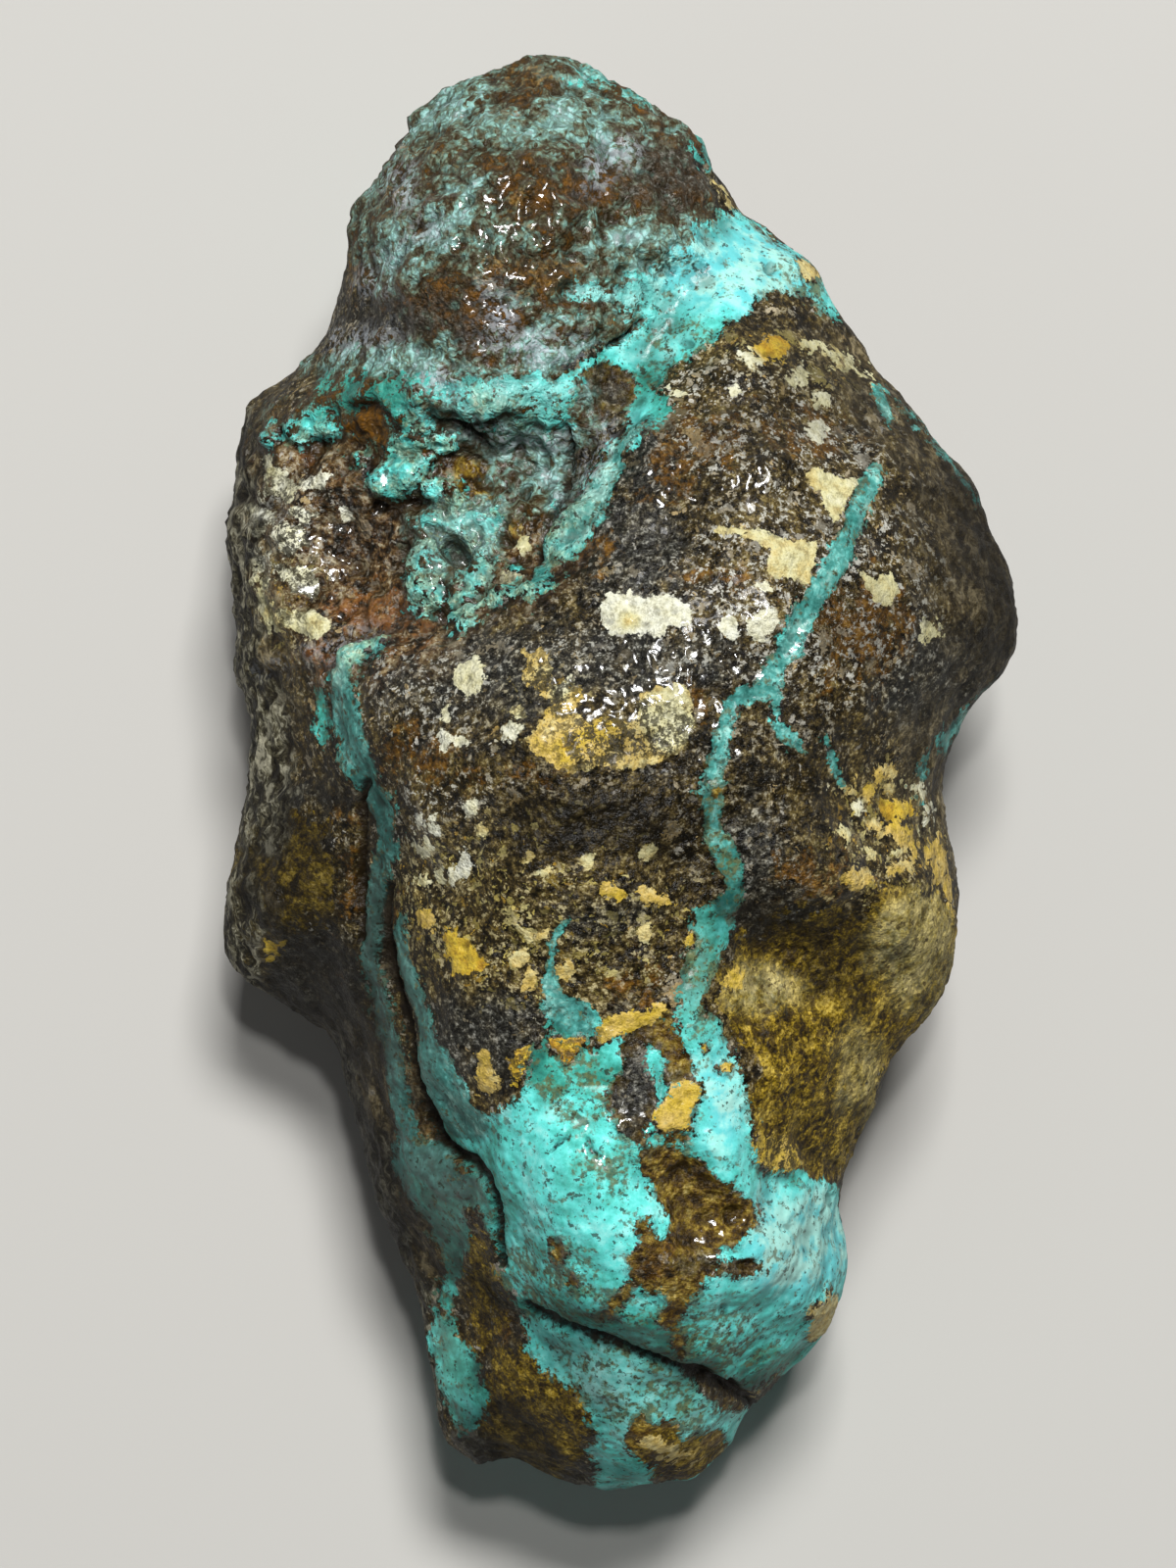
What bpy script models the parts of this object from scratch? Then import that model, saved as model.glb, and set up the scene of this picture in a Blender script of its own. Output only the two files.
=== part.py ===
"""Raw turquoise nugget: one rough stone, lying on its back face.

Units are metres and +Z is up. The stone's length runs along Y, with the narrow, knobbly end at +Y.
It rests on a small worn flat in its underside, at Z = 0, below the middle of its bounding box.

The outline and the relief are drawn on a flat sheet, x to the right and y downwards, as an eye high
above the stone sees them. SHEET_UNIT is the size of one sheet unit at the height of the girdle, the
stone's widest line. Heights and depths are in millimetres, heights from the resting plane.
"""
import math
from bisect import bisect_right

import bmesh
import bpy
from mathutils import Vector, geometry, noise

MM = 0.001

# Driving dimensions, in metres
LENGTH = 0.0651          # tip to foot, along Y
GIRDLE_HEIGHT = 0.011    # typical height of the girdle

# The net of points, in mm
OUTLINE_STEP = 1.05      # spacing along the girdle
UPPER_STEP = 0.87        # spacing over the upper face
UNDER_STEP = 1.40        # spacing over the underside
UPPER_INSETS = (0.12, 0.45, 0.95, 1.65, 2.5)   # rows that follow the outline, this far inside it
UNDER_INSETS = (0.15, 0.6, 1.4, 2.6)
CROWDING = 0.35          # a point closer than this to its neighbour in a row is left out
ROW_TOLERANCE = 0.97     # a row's point that is nearer to the outline than this share of its inset is left out
FIELD_GAP = 0.75         # gap between the last row and the even field, in spacings
SMOOTHING_ROUNDS = 2
SMOOTHING_FACTOR = 0.4

# The drawing sheet
SHEET_TIP_Y = 60.0
SHEET_FOOT_Y = 1526.0
SHEET_UNIT = LENGTH / (SHEET_FOOT_Y - SHEET_TIP_Y)
SHEET_MIDDLE = (632.2, 794.4)     # the sheet point over the origin
EYE_FOOT = (600.0, 800.0)         # the sheet point under the eye
EYE_RISE = 0.296                  # height of the eye above the girdle

# The outline, clockwise from the tip
RIGHT_SIDE = [
    (548, 60), (580, 67), (608, 77), (635, 97), (665, 115), (686, 121), (700, 138), (717, 147), (727, 172),
    (745, 200), (750, 220), (774, 229), (790, 246), (820, 259), (838, 276), (850, 305), (860, 324),
    (878, 345), (894, 377), (920, 402), (942, 432), (972, 464), (996, 495), (1004, 522), (1017, 557),
    (1033, 585), (1039, 630), (1041, 668), (1032, 684), (1000, 714), (976, 750), (965, 775), (962, 820),
    (972, 862), (980, 910), (976, 955), (969, 998), (950, 1032), (937, 1052), (918, 1066), (907, 1098),
    (893, 1135), (876, 1172), (863, 1208), (861, 1232), (865, 1262), (863, 1318), (858, 1347),
    (835, 1378), (806, 1400), (788, 1428), (768, 1443), (746, 1488), (716, 1520), (690, 1524), (655, 1525),
]
LEFT_SIDE = [
    (625, 1527), (590, 1522), (552, 1507), (522, 1495), (498, 1498), (463, 1498), (449, 1458), (441, 1410),
    (432, 1360), (421, 1308), (399, 1255), (376, 1200), (361, 1148), (344, 1105), (340, 1068), (312, 1050),
    (286, 1025), (268, 1019), (242, 997), (228, 965), (230, 925), (241, 860), (256, 808), (251, 783),
    (258, 748), (244, 710), (237, 660), (239, 605), (231, 560), (236, 530), (243, 480), (240, 460),
    (248, 425), (254, 398), (280, 390), (296, 369), (318, 360), (339, 338), (339, 322), (350, 298),
    (353, 262), (366, 220), (379, 188), (393, 180), (408, 158), (410, 138), (424, 126), (436, 103),
    (450, 94), (480, 81), (497, 84), (515, 70),
]

# Height of the girdle at equal steps round the outline, clockwise from the tip
GIRDLE = [12.5, 13.5, 12.5, 13.0, 14.2, 12.5, 11.0, 12.0, 10.0, 8.5, 7.5, 8.0, 9.5, 9.0, 7.5, 9.0, 10.5, 9.0, 8.5,
          10.5, 12.0]

# How far in from the outline each face rounds off, in mm
LEFT_SHOULDER = 5.2
RIGHT_SHOULDER = 8.0
HEAD_UNDER_SHOULDER = 9.0
FOOT_UNDER_SHOULDER = 6.0
SHOULDER_CHANGE = (350.0, 900.0)  # sheet x over which the left shoulder turns into the right one
SHOULDER_EASE = 2.2      # how gently a shoulder joins the face
SHOULDER_FULLNESS = 0.55          # below 1 a shoulder rises steeply from the outline

# Spot heights of the upper face: sheet x, sheet y, height
UPPER_SPOTS = [
    (460, 110, 17.5), (560, 90, 18.0), (650, 130, 17.5),
    (400, 200, 18.3), (480, 190, 20.3), (570, 200, 20.6), (660, 200, 19.0), (740, 230, 17.0),
    (370, 300, 17.8), (460, 280, 20.6), (560, 290, 20.6), (670, 290, 18.8), (760, 290, 18.6), (840, 300, 17.0),
    (280, 400, 16.0), (380, 390, 18.6), (500, 390, 20.4), (600, 380, 20.4), (690, 370, 20.0),
    (780, 400, 21.4), (880, 410, 18.8),
    (250, 500, 15.5), (340, 500, 17.4), (440, 500, 18.6), (540, 500, 20.0), (640, 490, 22.6),
    (760, 500, 23.6), (880, 500, 22.2), (980, 520, 18.5),
    (250, 600, 16.0), (340, 610, 17.4), (450, 610, 20.6), (550, 610, 22.8), (650, 610, 24.0),
    (780, 610, 24.8), (900, 610, 23.4), (1000, 620, 19.5),
    (260, 710, 15.0), (350, 690, 20.2), (440, 690, 23.8), (560, 690, 25.4), (680, 690, 25.9),
    (800, 690, 24.8), (900, 700, 22.8), (990, 700, 19.5),
    (270, 800, 13.8), (370, 790, 21.8), (470, 790, 25.4), (590, 790, 26.7), (700, 790, 26.0),
    (800, 790, 24.4), (900, 800, 22.4),
    (260, 900, 14.8), (320, 900, 16.8), (410, 900, 22.2), (520, 890, 25.6), (630, 890, 26.0),
    (730, 890, 24.6), (830, 890, 23.8), (930, 900, 21.6),
    (280, 990, 13.6), (400, 1000, 20.4), (500, 1000, 24.4), (610, 1000, 25.0), (700, 1000, 24.0),
    (800, 1000, 21.8), (900, 990, 20.4),
    (370, 1100, 14.4), (450, 1090, 21.6), (560, 1100, 24.0), (660, 1100, 24.2), (750, 1100, 23.6),
    (830, 1100, 21.4),
    (390, 1200, 13.6), (460, 1200, 18.6), (560, 1200, 24.2), (660, 1200, 24.6), (750, 1200, 23.8),
    (840, 1210, 19.8),
    (430, 1300, 12.6), (500, 1300, 17.8), (580, 1300, 23.4), (680, 1310, 23.8), (780, 1300, 22.4),
    (460, 1400, 12.6), (530, 1400, 17.0), (620, 1400, 20.6), (710, 1410, 20.6), (790, 1390, 18.8),
    (490, 1480, 13.0), (560, 1480, 16.4), (630, 1480, 18.2), (710, 1480, 17.8),
]
UPPER_REACH = 46.0       # how far each spot height spreads, in sheet units
HEIGHT_ROUNDS = 3        # a higher point is drawn further from the eye's foot, so its height is found in rounds

# Spot heights of the underside: sheet x, sheet y, height. Below zero it is worn flat.
UNDER_SPOTS = [
    (560, 150, 5.0), (420, 300, 3.4), (700, 300, 4.2), (560, 420, 1.4), (330, 520, 3.0), (820, 470, 3.2),
    (470, 640, -0.5), (660, 600, -1.2), (960, 640, 4.6), (330, 780, 2.2), (560, 820, -1.6),
    (760, 800, -1.0), (910, 860, 2.6), (300, 950, 3.4), (480, 1010, -0.9), (680, 1020, -1.5),
    (860, 1060, 2.2), (420, 1180, 2.6), (590, 1210, 0.8), (770, 1240, 1.2), (520, 1390, 1.6),
    (700, 1400, 0.8), (620, 1490, 2.0),
]
UNDER_REACH = 80.0

# Dents: sheet x and y, half length and half width in sheet units, turn in degrees, depth
DENT_WALL = 1.4          # above 1 a dent has a flatter floor and steeper walls
UPPER_DENTS = {
    "vug under its roof": (530, 462, 95, 34, 8, 2.4),
    "vug floor": (510, 530, 70, 60, 0, 1.4),
    "left pocket of the vug": (340, 450, 70, 30, -6, 1.8),
    "lower pocket of the vug": (370, 565, 62, 66, 0, 2.2),
    "vug outlet": (372, 652, 72, 20, -12, 1.3),
    "hollow under the right bulge": (835, 985, 90, 50, 24, 0.7),
    "yellow notch": (820, 1160, 46, 36, 10, 1.2),
    "pit in the cap": (712, 1228, 58, 34, 48, 1.6),
    "dip in the shoulder": (670, 362, 60, 34, -24, 0.8),
    "corner behind the left bump": (350, 1018, 56, 48, 0, 2.2),
    "corner of the head": (352, 345, 40, 24, -30, 0.8),
}
UNDER_DENTS = {
    "cleft below the head": (640, 450, 60, 200, 24, 2.4),
    "scar on the left": (400, 1100, 110, 90, -30, 2.6),
    "hollow on the right": (850, 1180, 90, 110, 0, 2.2),
    "chip on the right": (860, 720, 80, 80, 10, 2.0),
    "dip at the foot": (600, 1330, 60, 60, 0, 1.4),
}

# Grooves: path on the sheet, depth and half width
GROOVES = {
    "cleft between the vein's strands": ([(372, 800), (376, 850), (384, 905), (386, 980), (402, 1060), (420, 1125),
                                          (452, 1166)], 1.9, 1.1),
    "valley down the left flank": ([(300, 700), (322, 780), (345, 840), (352, 900), (352, 960)], 1.6, 1.9),
    "crease of the cap": ([(452, 1150), (486, 1182), (505, 1240), (512, 1290), (532, 1330)], 1.3, 1.0),
    "waist": ([(975, 800), (930, 800), (880, 822)], 1.0, 2.2),
}

# Steps: path along the upper edge with the lower side on its right, drop, width of the slope, reach
STEPS = {
    "foot of the cap": ([(520, 1318), (545, 1335), (600, 1357), (680, 1386), (735, 1412), (768, 1440)], 2.6, 1.1, 5.0),
    "ledge over the vug": ([(690, 345), (655, 410), (640, 450), (605, 500), (575, 575), (555, 597), (500, 620),
                            (455, 642)], 1.7, 1.6, 3.4),
    "foot of the right bulge": ([(752, 990), (765, 948), (800, 932), (860, 926), (900, 942), (940, 985)], 1.2, 2.2, 4.5),
}

# The broken surface itself: wavelength and height of each order of lumps
UPPER_LUMPS = [(7.0, 0.60), (3.2, 0.32)]
UNDER_LUMPS = [(8.0, 1.3), (3.6, 0.55)]
LUMP_SHIFT = (17.3, 5.1, 9.7)     # moves each order to its own place in the noise
GIRDLE_CALM = 0.30       # share of the lumps that is left on the girdle, so the outline holds
CALM_WIDTH = 3.0         # how far in from the outline they reach their full height

STONE_COLOUR = (0.13, 0.17, 0.13, 1.0)
STONE_ROUGHNESS = 0.35


def clear_scene():
    for item in list(bpy.data.objects):
        bpy.data.objects.remove(item, do_unlink=True)


def smooth_step(value):
    value = min(1.0, max(0.0, value))
    return value * value * (3.0 - 2.0 * value)


def smooth_loop(corners, steps=6):
    """Points of a closed Catmull-Rom curve through the corners."""
    corners = [Vector(corner) for corner in corners]
    loop = []
    for index, start in enumerate(corners):
        before = corners[index - 1]
        end = corners[(index + 1) % len(corners)]
        after = corners[(index + 2) % len(corners)]
        for step in range(steps):
            t = step / steps
            loop.append(0.5 * (2 * start + (end - before) * t
                               + (2 * before - 5 * start + 4 * end - after) * t ** 2
                               + (3 * start - before - 3 * end + after) * t ** 3))
    return loop


def even_loop(loop, spacing):
    """The same closed curve with evenly spaced points."""
    closed = loop + loop[:1]
    runs = [0.0]
    for start, end in zip(closed, closed[1:]):
        runs.append(runs[-1] + (end - start).length)
    count = round(runs[-1] / spacing)
    points = []
    for step in range(count):
        run = runs[-1] * step / count
        index = bisect_right(runs, run) - 1
        t = (run - runs[index]) / (runs[index + 1] - runs[index])
        points.append(closed[index].lerp(closed[index + 1], t))
    return points


def read_loop(values, share):
    """Value at a share of the way round a closed, evenly spaced list."""
    place = share * len(values)
    index = int(place) % len(values)
    t = smooth_step(place - int(place))
    return values[index] * (1 - t) + values[(index + 1) % len(values)] * t


def distance_to_path(point, path):
    """Distance from a point to a path, with the side it is on (+1 right, -1 left) and the nearest index."""
    best = math.inf
    side = 1.0
    nearest = 0
    for index, (start, end) in enumerate(zip(path, path[1:])):
        run = end - start
        t = min(1.0, max(0.0, (point - start).dot(run) / run.length_squared))
        offset = point - (start + run * t)
        if offset.length < best:
            best = offset.length
            side = 1.0 if run.cross(offset) > 0 else -1.0
            nearest = index
    return best, side, nearest


def spot_height(point, spots, reach):
    """Smooth surface through spot heights, each spreading over the reach."""
    total = 0.0
    weights = 1e-12
    for x, y, height in spots:
        weight = math.exp(-((point.x - x) ** 2 + (point.y - y) ** 2) / (2 * reach ** 2))
        total += weight * height
        weights += weight
    return total / weights


def dent_depth(point, dents):
    depth = 0.0
    for x, y, half_length, half_width, turn, deep in dents.values():
        angle = math.radians(turn)
        along = (point.x - x) * math.cos(angle) + (point.y - y) * math.sin(angle)
        across = (point.y - y) * math.cos(angle) - (point.x - x) * math.sin(angle)
        spread = (along / half_length) ** 2 + (across / half_width) ** 2
        depth += deep * math.exp(-spread ** DENT_WALL)
    return depth


def groove_depth(point):
    depth = 0.0
    for route, deep, half_width in GROOVES.values():
        away = distance_to_path(point, [Vector(place) for place in route])[0] * SHEET_UNIT / MM
        depth += deep * math.exp(-(away / half_width) ** 2)
    return depth


def step_depth(point):
    depth = 0.0
    for route, drop, slope, reach in STEPS.values():
        away, side, _ = distance_to_path(point, [Vector(place) for place in route])
        away *= side * SHEET_UNIT / MM
        depth += drop * smooth_step(0.5 + away / slope) * math.exp(-(max(0.0, away) / reach) ** 2)
    return depth


def seen_at(plan, height):
    """Sheet point at which the eye sees a point of the plan that lies at the height."""
    eye = Vector(EYE_FOOT)
    return eye + (plan - eye) * EYE_RISE / (EYE_RISE - (height * MM - GIRDLE_HEIGHT))


def shoulder(share):
    """Rounding of a face near the outline: 0 on the outline, 1 once the shoulder is passed."""
    share = min(1.0, max(0.0, share))
    return (1.0 - (1.0 - share) ** SHOULDER_EASE) ** SHOULDER_FULLNESS


def upper_height(plan, girdle, inset):
    """Height of the upper face over a point of the plan that lies inset mm inside the outline."""
    start, end = SHOULDER_CHANGE
    side = smooth_step((plan.x - start) / (end - start))
    rounding = shoulder(inset / (LEFT_SHOULDER * (1 - side) + RIGHT_SHOULDER * side))
    height = girdle
    for _ in range(HEIGHT_ROUNDS):
        point = seen_at(plan, height)
        cut = dent_depth(point, UPPER_DENTS) + groove_depth(point) + step_depth(point)
        height = girdle + (spot_height(point, UPPER_SPOTS, UPPER_REACH) - cut - girdle) * rounding
    return height


def under_height(plan, girdle, inset):
    """Height of the underside at a point of the plan."""
    keel = spot_height(plan, UNDER_SPOTS, UNDER_REACH) + dent_depth(plan, UNDER_DENTS)
    toward_foot = smooth_step((plan.y - SHEET_TIP_Y) / (SHEET_FOOT_Y - SHEET_TIP_Y))
    width = HEAD_UNDER_SHOULDER * (1 - toward_foot) + FOOT_UNDER_SHOULDER * toward_foot
    return girdle - (girdle - keel) * shoulder(inset / width)


def lumps(place, orders):
    """Height of the broken surface at a place in the stone."""
    total = 0.0
    for order, (wavelength, height) in enumerate(orders):
        shift = Vector((LUMP_SHIFT[0] * (order + 1), LUMP_SHIFT[1], LUMP_SHIFT[2]))
        total += height * noise.noise(place / (wavelength * MM) + shift)
    return total


def fill_plan(outline, insets, spacing):
    """Points inside the outline: rows that follow it at the insets, then an even field of them."""
    closed = outline + outline[:1]
    unit = MM / SHEET_UNIT
    points = []
    for inset in insets:
        for before, here, after in zip(outline[-1:] + outline, outline, outline[1:] + outline[:1]):
            inward = (after - before).orthogonal().normalized()
            point = here + inward * inset * unit
            crowded = any((point - other).length < CROWDING * unit for other in points[-3:])
            if distance_to_path(point, closed)[0] > ROW_TOLERANCE * inset * unit and not crowded:
                points.append(point)
    row_step = spacing * unit * math.sqrt(3) / 2
    left, right = min(point.x for point in outline), max(point.x for point in outline)
    top, bottom = min(point.y for point in outline), max(point.y for point in outline)
    for row in range(int((bottom - top) / row_step) + 1):
        for column in range(int((right - left) / (spacing * unit)) + 2):
            point = Vector((left + (column - 0.5 * (row % 2)) * spacing * unit, top + row * row_step))
            away, side, _ = distance_to_path(point, closed)
            if side > 0 and away > (insets[-1] + FIELD_GAP * spacing) * unit:
                points.append(point)
    return points


def add_face_sheet(bm, rim, outline, insets, spacing, is_upper):
    """One face of the stone: a net of triangles from the girdle's points inwards."""
    closed = outline + outline[:1]
    inner = fill_plan(outline, insets, spacing)
    count = len(outline)
    edges = [(index, (index + 1) % count) for index in range(count)]
    places, _, triangles, sources, _, _ = geometry.delaunay_2d_cdt(outline + inner, edges, [], 1, 0.01)
    middle = Vector(SHEET_MIDDLE)
    verts = []
    for place, source in zip(places, sources):
        if source and source[0] < count:
            verts.append(rim[source[0]])
            continue
        away, _, nearest = distance_to_path(place, closed)
        inset = away * SHEET_UNIT / MM
        girdle = rim[nearest].co.z / MM
        height = upper_height(place, girdle, inset) if is_upper else under_height(place, girdle, inset)
        verts.append(bm.verts.new(((place.x - middle.x) * SHEET_UNIT, (middle.y - place.y) * SHEET_UNIT,
                                   height * MM)))
    for triangle in triangles:
        corners = [verts[index] for index in triangle]
        bm.faces.new(corners if is_upper else corners[::-1])
    return {vert for vert in verts if vert not in rim}


def roughen(bm, upper, closed):
    """Push every point in or out along its normal by the lumps of the broken surface."""
    middle = Vector(SHEET_MIDDLE)
    bm.normal_update()
    moves = []
    for vert in bm.verts:
        plan = Vector((middle.x + vert.co.x / SHEET_UNIT, middle.y - vert.co.y / SHEET_UNIT))
        inset = distance_to_path(plan, closed)[0] * SHEET_UNIT / MM
        share = GIRDLE_CALM + (1 - GIRDLE_CALM) * smooth_step(inset / CALM_WIDTH)
        orders = UPPER_LUMPS if vert in upper else UNDER_LUMPS
        moves.append(vert.normal * (lumps(vert.co, orders) * share * MM))
    for vert, move in zip(bm.verts, moves):
        vert.co += move
        vert.co.z = max(0.0, vert.co.z)


def stone_material():
    material = bpy.data.materials.new("turquoise in matrix")
    material.use_nodes = True
    shader = material.node_tree.nodes["Principled BSDF"]
    shader.inputs["Base Color"].default_value = STONE_COLOUR
    shader.inputs["Roughness"].default_value = STONE_ROUGHNESS
    shader.inputs["Metallic"].default_value = 0.0
    return material


def build_nugget():
    outline = even_loop(smooth_loop(RIGHT_SIDE + LEFT_SIDE), OUTLINE_STEP * MM / SHEET_UNIT)
    middle = Vector(SHEET_MIDDLE)
    bm = bmesh.new()
    rim = []
    for index, place in enumerate(outline):
        height = read_loop(GIRDLE, index / len(outline))
        rim.append(bm.verts.new(((place.x - middle.x) * SHEET_UNIT, (middle.y - place.y) * SHEET_UNIT,
                                 height * MM)))
    upper = add_face_sheet(bm, rim, outline, UPPER_INSETS, UPPER_STEP, True)
    add_face_sheet(bm, rim, outline, UNDER_INSETS, UNDER_STEP, False)
    if bm.calc_volume(signed=True) < 0:
        bmesh.ops.reverse_faces(bm, faces=bm.faces)
    for _ in range(SMOOTHING_ROUNDS):
        bmesh.ops.smooth_vert(bm, verts=bm.verts, factor=SMOOTHING_FACTOR, use_axis_z=True)
    roughen(bm, upper, outline + outline[:1])
    mesh = bpy.data.meshes.new("nugget")
    bm.to_mesh(mesh)
    bm.free()
    mesh.materials.append(stone_material())
    mesh.shade_smooth()
    nugget = bpy.data.objects.new("nugget", mesh)
    bpy.context.scene.collection.objects.link(nugget)
    print("nugget:", len(mesh.polygons), "triangles")
    for axis, name in enumerate("XYZ"):
        low = min(vert.co[axis] for vert in mesh.vertices)
        high = max(vert.co[axis] for vert in mesh.vertices)
        print(f"{name} from {low / MM:.2f} to {high / MM:.2f} mm")


clear_scene()
build_nugget()
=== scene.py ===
import math
import bmesh
import bpy
import numpy as np
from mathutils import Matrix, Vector, noise


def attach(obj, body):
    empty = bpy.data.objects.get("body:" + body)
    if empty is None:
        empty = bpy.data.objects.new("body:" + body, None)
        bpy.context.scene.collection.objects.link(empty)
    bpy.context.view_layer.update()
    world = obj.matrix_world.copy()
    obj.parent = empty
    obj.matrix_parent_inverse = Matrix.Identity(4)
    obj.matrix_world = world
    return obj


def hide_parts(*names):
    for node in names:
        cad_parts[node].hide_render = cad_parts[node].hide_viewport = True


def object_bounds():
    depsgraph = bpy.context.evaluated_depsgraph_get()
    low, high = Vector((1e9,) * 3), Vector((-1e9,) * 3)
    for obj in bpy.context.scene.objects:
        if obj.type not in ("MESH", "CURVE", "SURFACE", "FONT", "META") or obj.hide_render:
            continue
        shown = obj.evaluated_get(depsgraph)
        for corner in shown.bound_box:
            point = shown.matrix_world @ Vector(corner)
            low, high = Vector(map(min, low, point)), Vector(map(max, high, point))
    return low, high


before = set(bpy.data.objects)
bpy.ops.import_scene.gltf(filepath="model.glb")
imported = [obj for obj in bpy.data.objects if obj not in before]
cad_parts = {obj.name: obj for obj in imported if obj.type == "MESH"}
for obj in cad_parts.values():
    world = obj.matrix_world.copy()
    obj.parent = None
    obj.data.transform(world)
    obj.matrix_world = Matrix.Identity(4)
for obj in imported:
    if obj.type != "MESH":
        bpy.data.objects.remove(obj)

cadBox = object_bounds()
mm = 1000.0                           # in a metre

# The markings are drawn on a flat sheet, x to the right and y downwards, as an eye above the stone sees it
sheet = {
    "unit": 0.0651 / 1466,            # metres for one sheet unit at the girdle
    "middle": (632.2, 794.4),         # the sheet point over the origin
    "eye": (600.0, 800.0),            # the sheet point under the eye
    "eyeRise": 0.296,                 # metres from the girdle up to the eye
    "girdle": 0.011,                  # metres from the floor up to the girdle
    # how outlines wander, in large bends and small ones: mm between bends, their share and two noise shifts
    "wander": ((2.3, 1.0, (11.0, 47.0)), (0.9, 0.5, (23.0, 71.0))),
    "wobble": 0.22,                   # mm that they wander
    "backWobble": 0.66,
    "far": -9.0,                      # mm outside a marking, at most
}

# Turquoise veins, which stand a little proud: x, y and half width along each
veins = {
    "right vein": [(893, 484, 7), (885, 500, 11), (876, 518, 11), (870, 536, 12), (862, 556, 13),
        (852, 576, 12), (842, 596, 12), (828, 612, 13), (818, 628, 13), (813, 645, 13), (806, 660, 13),
        (792, 676, 14), (787, 694, 11), (780, 706, 9), (762, 708, 10), (750, 716, 11), (743, 732, 9),
        (735, 748, 9), (730, 770, 11), (728, 800, 12), (726, 828, 13), (728, 850, 10), (740, 868, 13),
        (748, 890, 10), (752, 908, 10), (742, 922, 14)],
    "spur of the right vein": [(786, 700, 6), (790, 714, 6), (792, 726, 3)],
    "green spur": [(788, 738, 3), (800, 748, 7), (812, 760, 5), (820, 768, 2)],
    "pale spur": [(842, 756, 2), (848, 772, 4), (854, 788, 4), (862, 802, 2)],
    "ledge vein": [(662, 428, 7), (645, 442, 8), (632, 460, 11), (620, 482, 13), (608, 506, 13),
        (591, 531, 13), (576, 558, 12), (563, 582, 10), (554, 596, 10), (540, 606, 9), (518, 611, 7),
        (500, 617, 5), (484, 624, 8), (470, 632, 11), (460, 641, 5)],
    "left vein": [(396, 654, 3), (376, 666, 7), (358, 682, 12), (350, 702, 14), (354, 725, 15),
        (357, 750, 16), (360, 772, 16), (370, 792, 13), (383, 812, 12), (393, 832, 11), (397, 850, 9),
        (396, 866, 8)],
    "left strand": [(396, 862, 9), (391, 885, 10), (384, 910, 10), (377, 932, 9), (374, 952, 9),
        (377, 970, 9), (381, 992, 8), (386, 1020, 8), (392, 1045, 8), (400, 1066, 9), (404, 1090, 9),
        (407, 1115, 9), (412, 1140, 11), (422, 1164, 15), (440, 1185, 20), (462, 1206, 20)],
    "right strand": [(414, 934, 3), (406, 950, 7), (409, 970, 8), (415, 990, 8), (421, 1010, 8),
        (427, 1030, 8), (435, 1052, 9), (441, 1075, 11), (447, 1098, 15), (458, 1120, 20), (474, 1140, 22)],
    "middle vein": [(580, 938, 2), (568, 952, 4), (561, 970, 4), (560, 990, 5), (562, 1010, 9),
        (572, 1028, 17), (586, 1040, 18)],
    "right edge": [(986, 728, 3), (974, 744, 8), (966, 758, 6), (960, 768, 3)],
    "right edge streak": [(944, 772, 2), (938, 795, 5), (934, 818, 3)],
    "waist patch": [(1040, 690, 5), (1022, 702, 8), (1000, 716, 6)],
    "streak on the head": [(590, 70, 5), (612, 84, 6), (636, 102, 5), (650, 112, 3)],
    "chip on the head": [(712, 146, 4), (719, 158, 7), (724, 172, 4)],
    "right shoulder dots": [(896, 402, 5), (902, 416, 6), (904, 432, 3)],
    "rim line": [(900, 392, 0), (925, 418, 1), (958, 456, 2), (988, 494, 2), (1004, 524, 0)],
}

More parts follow.
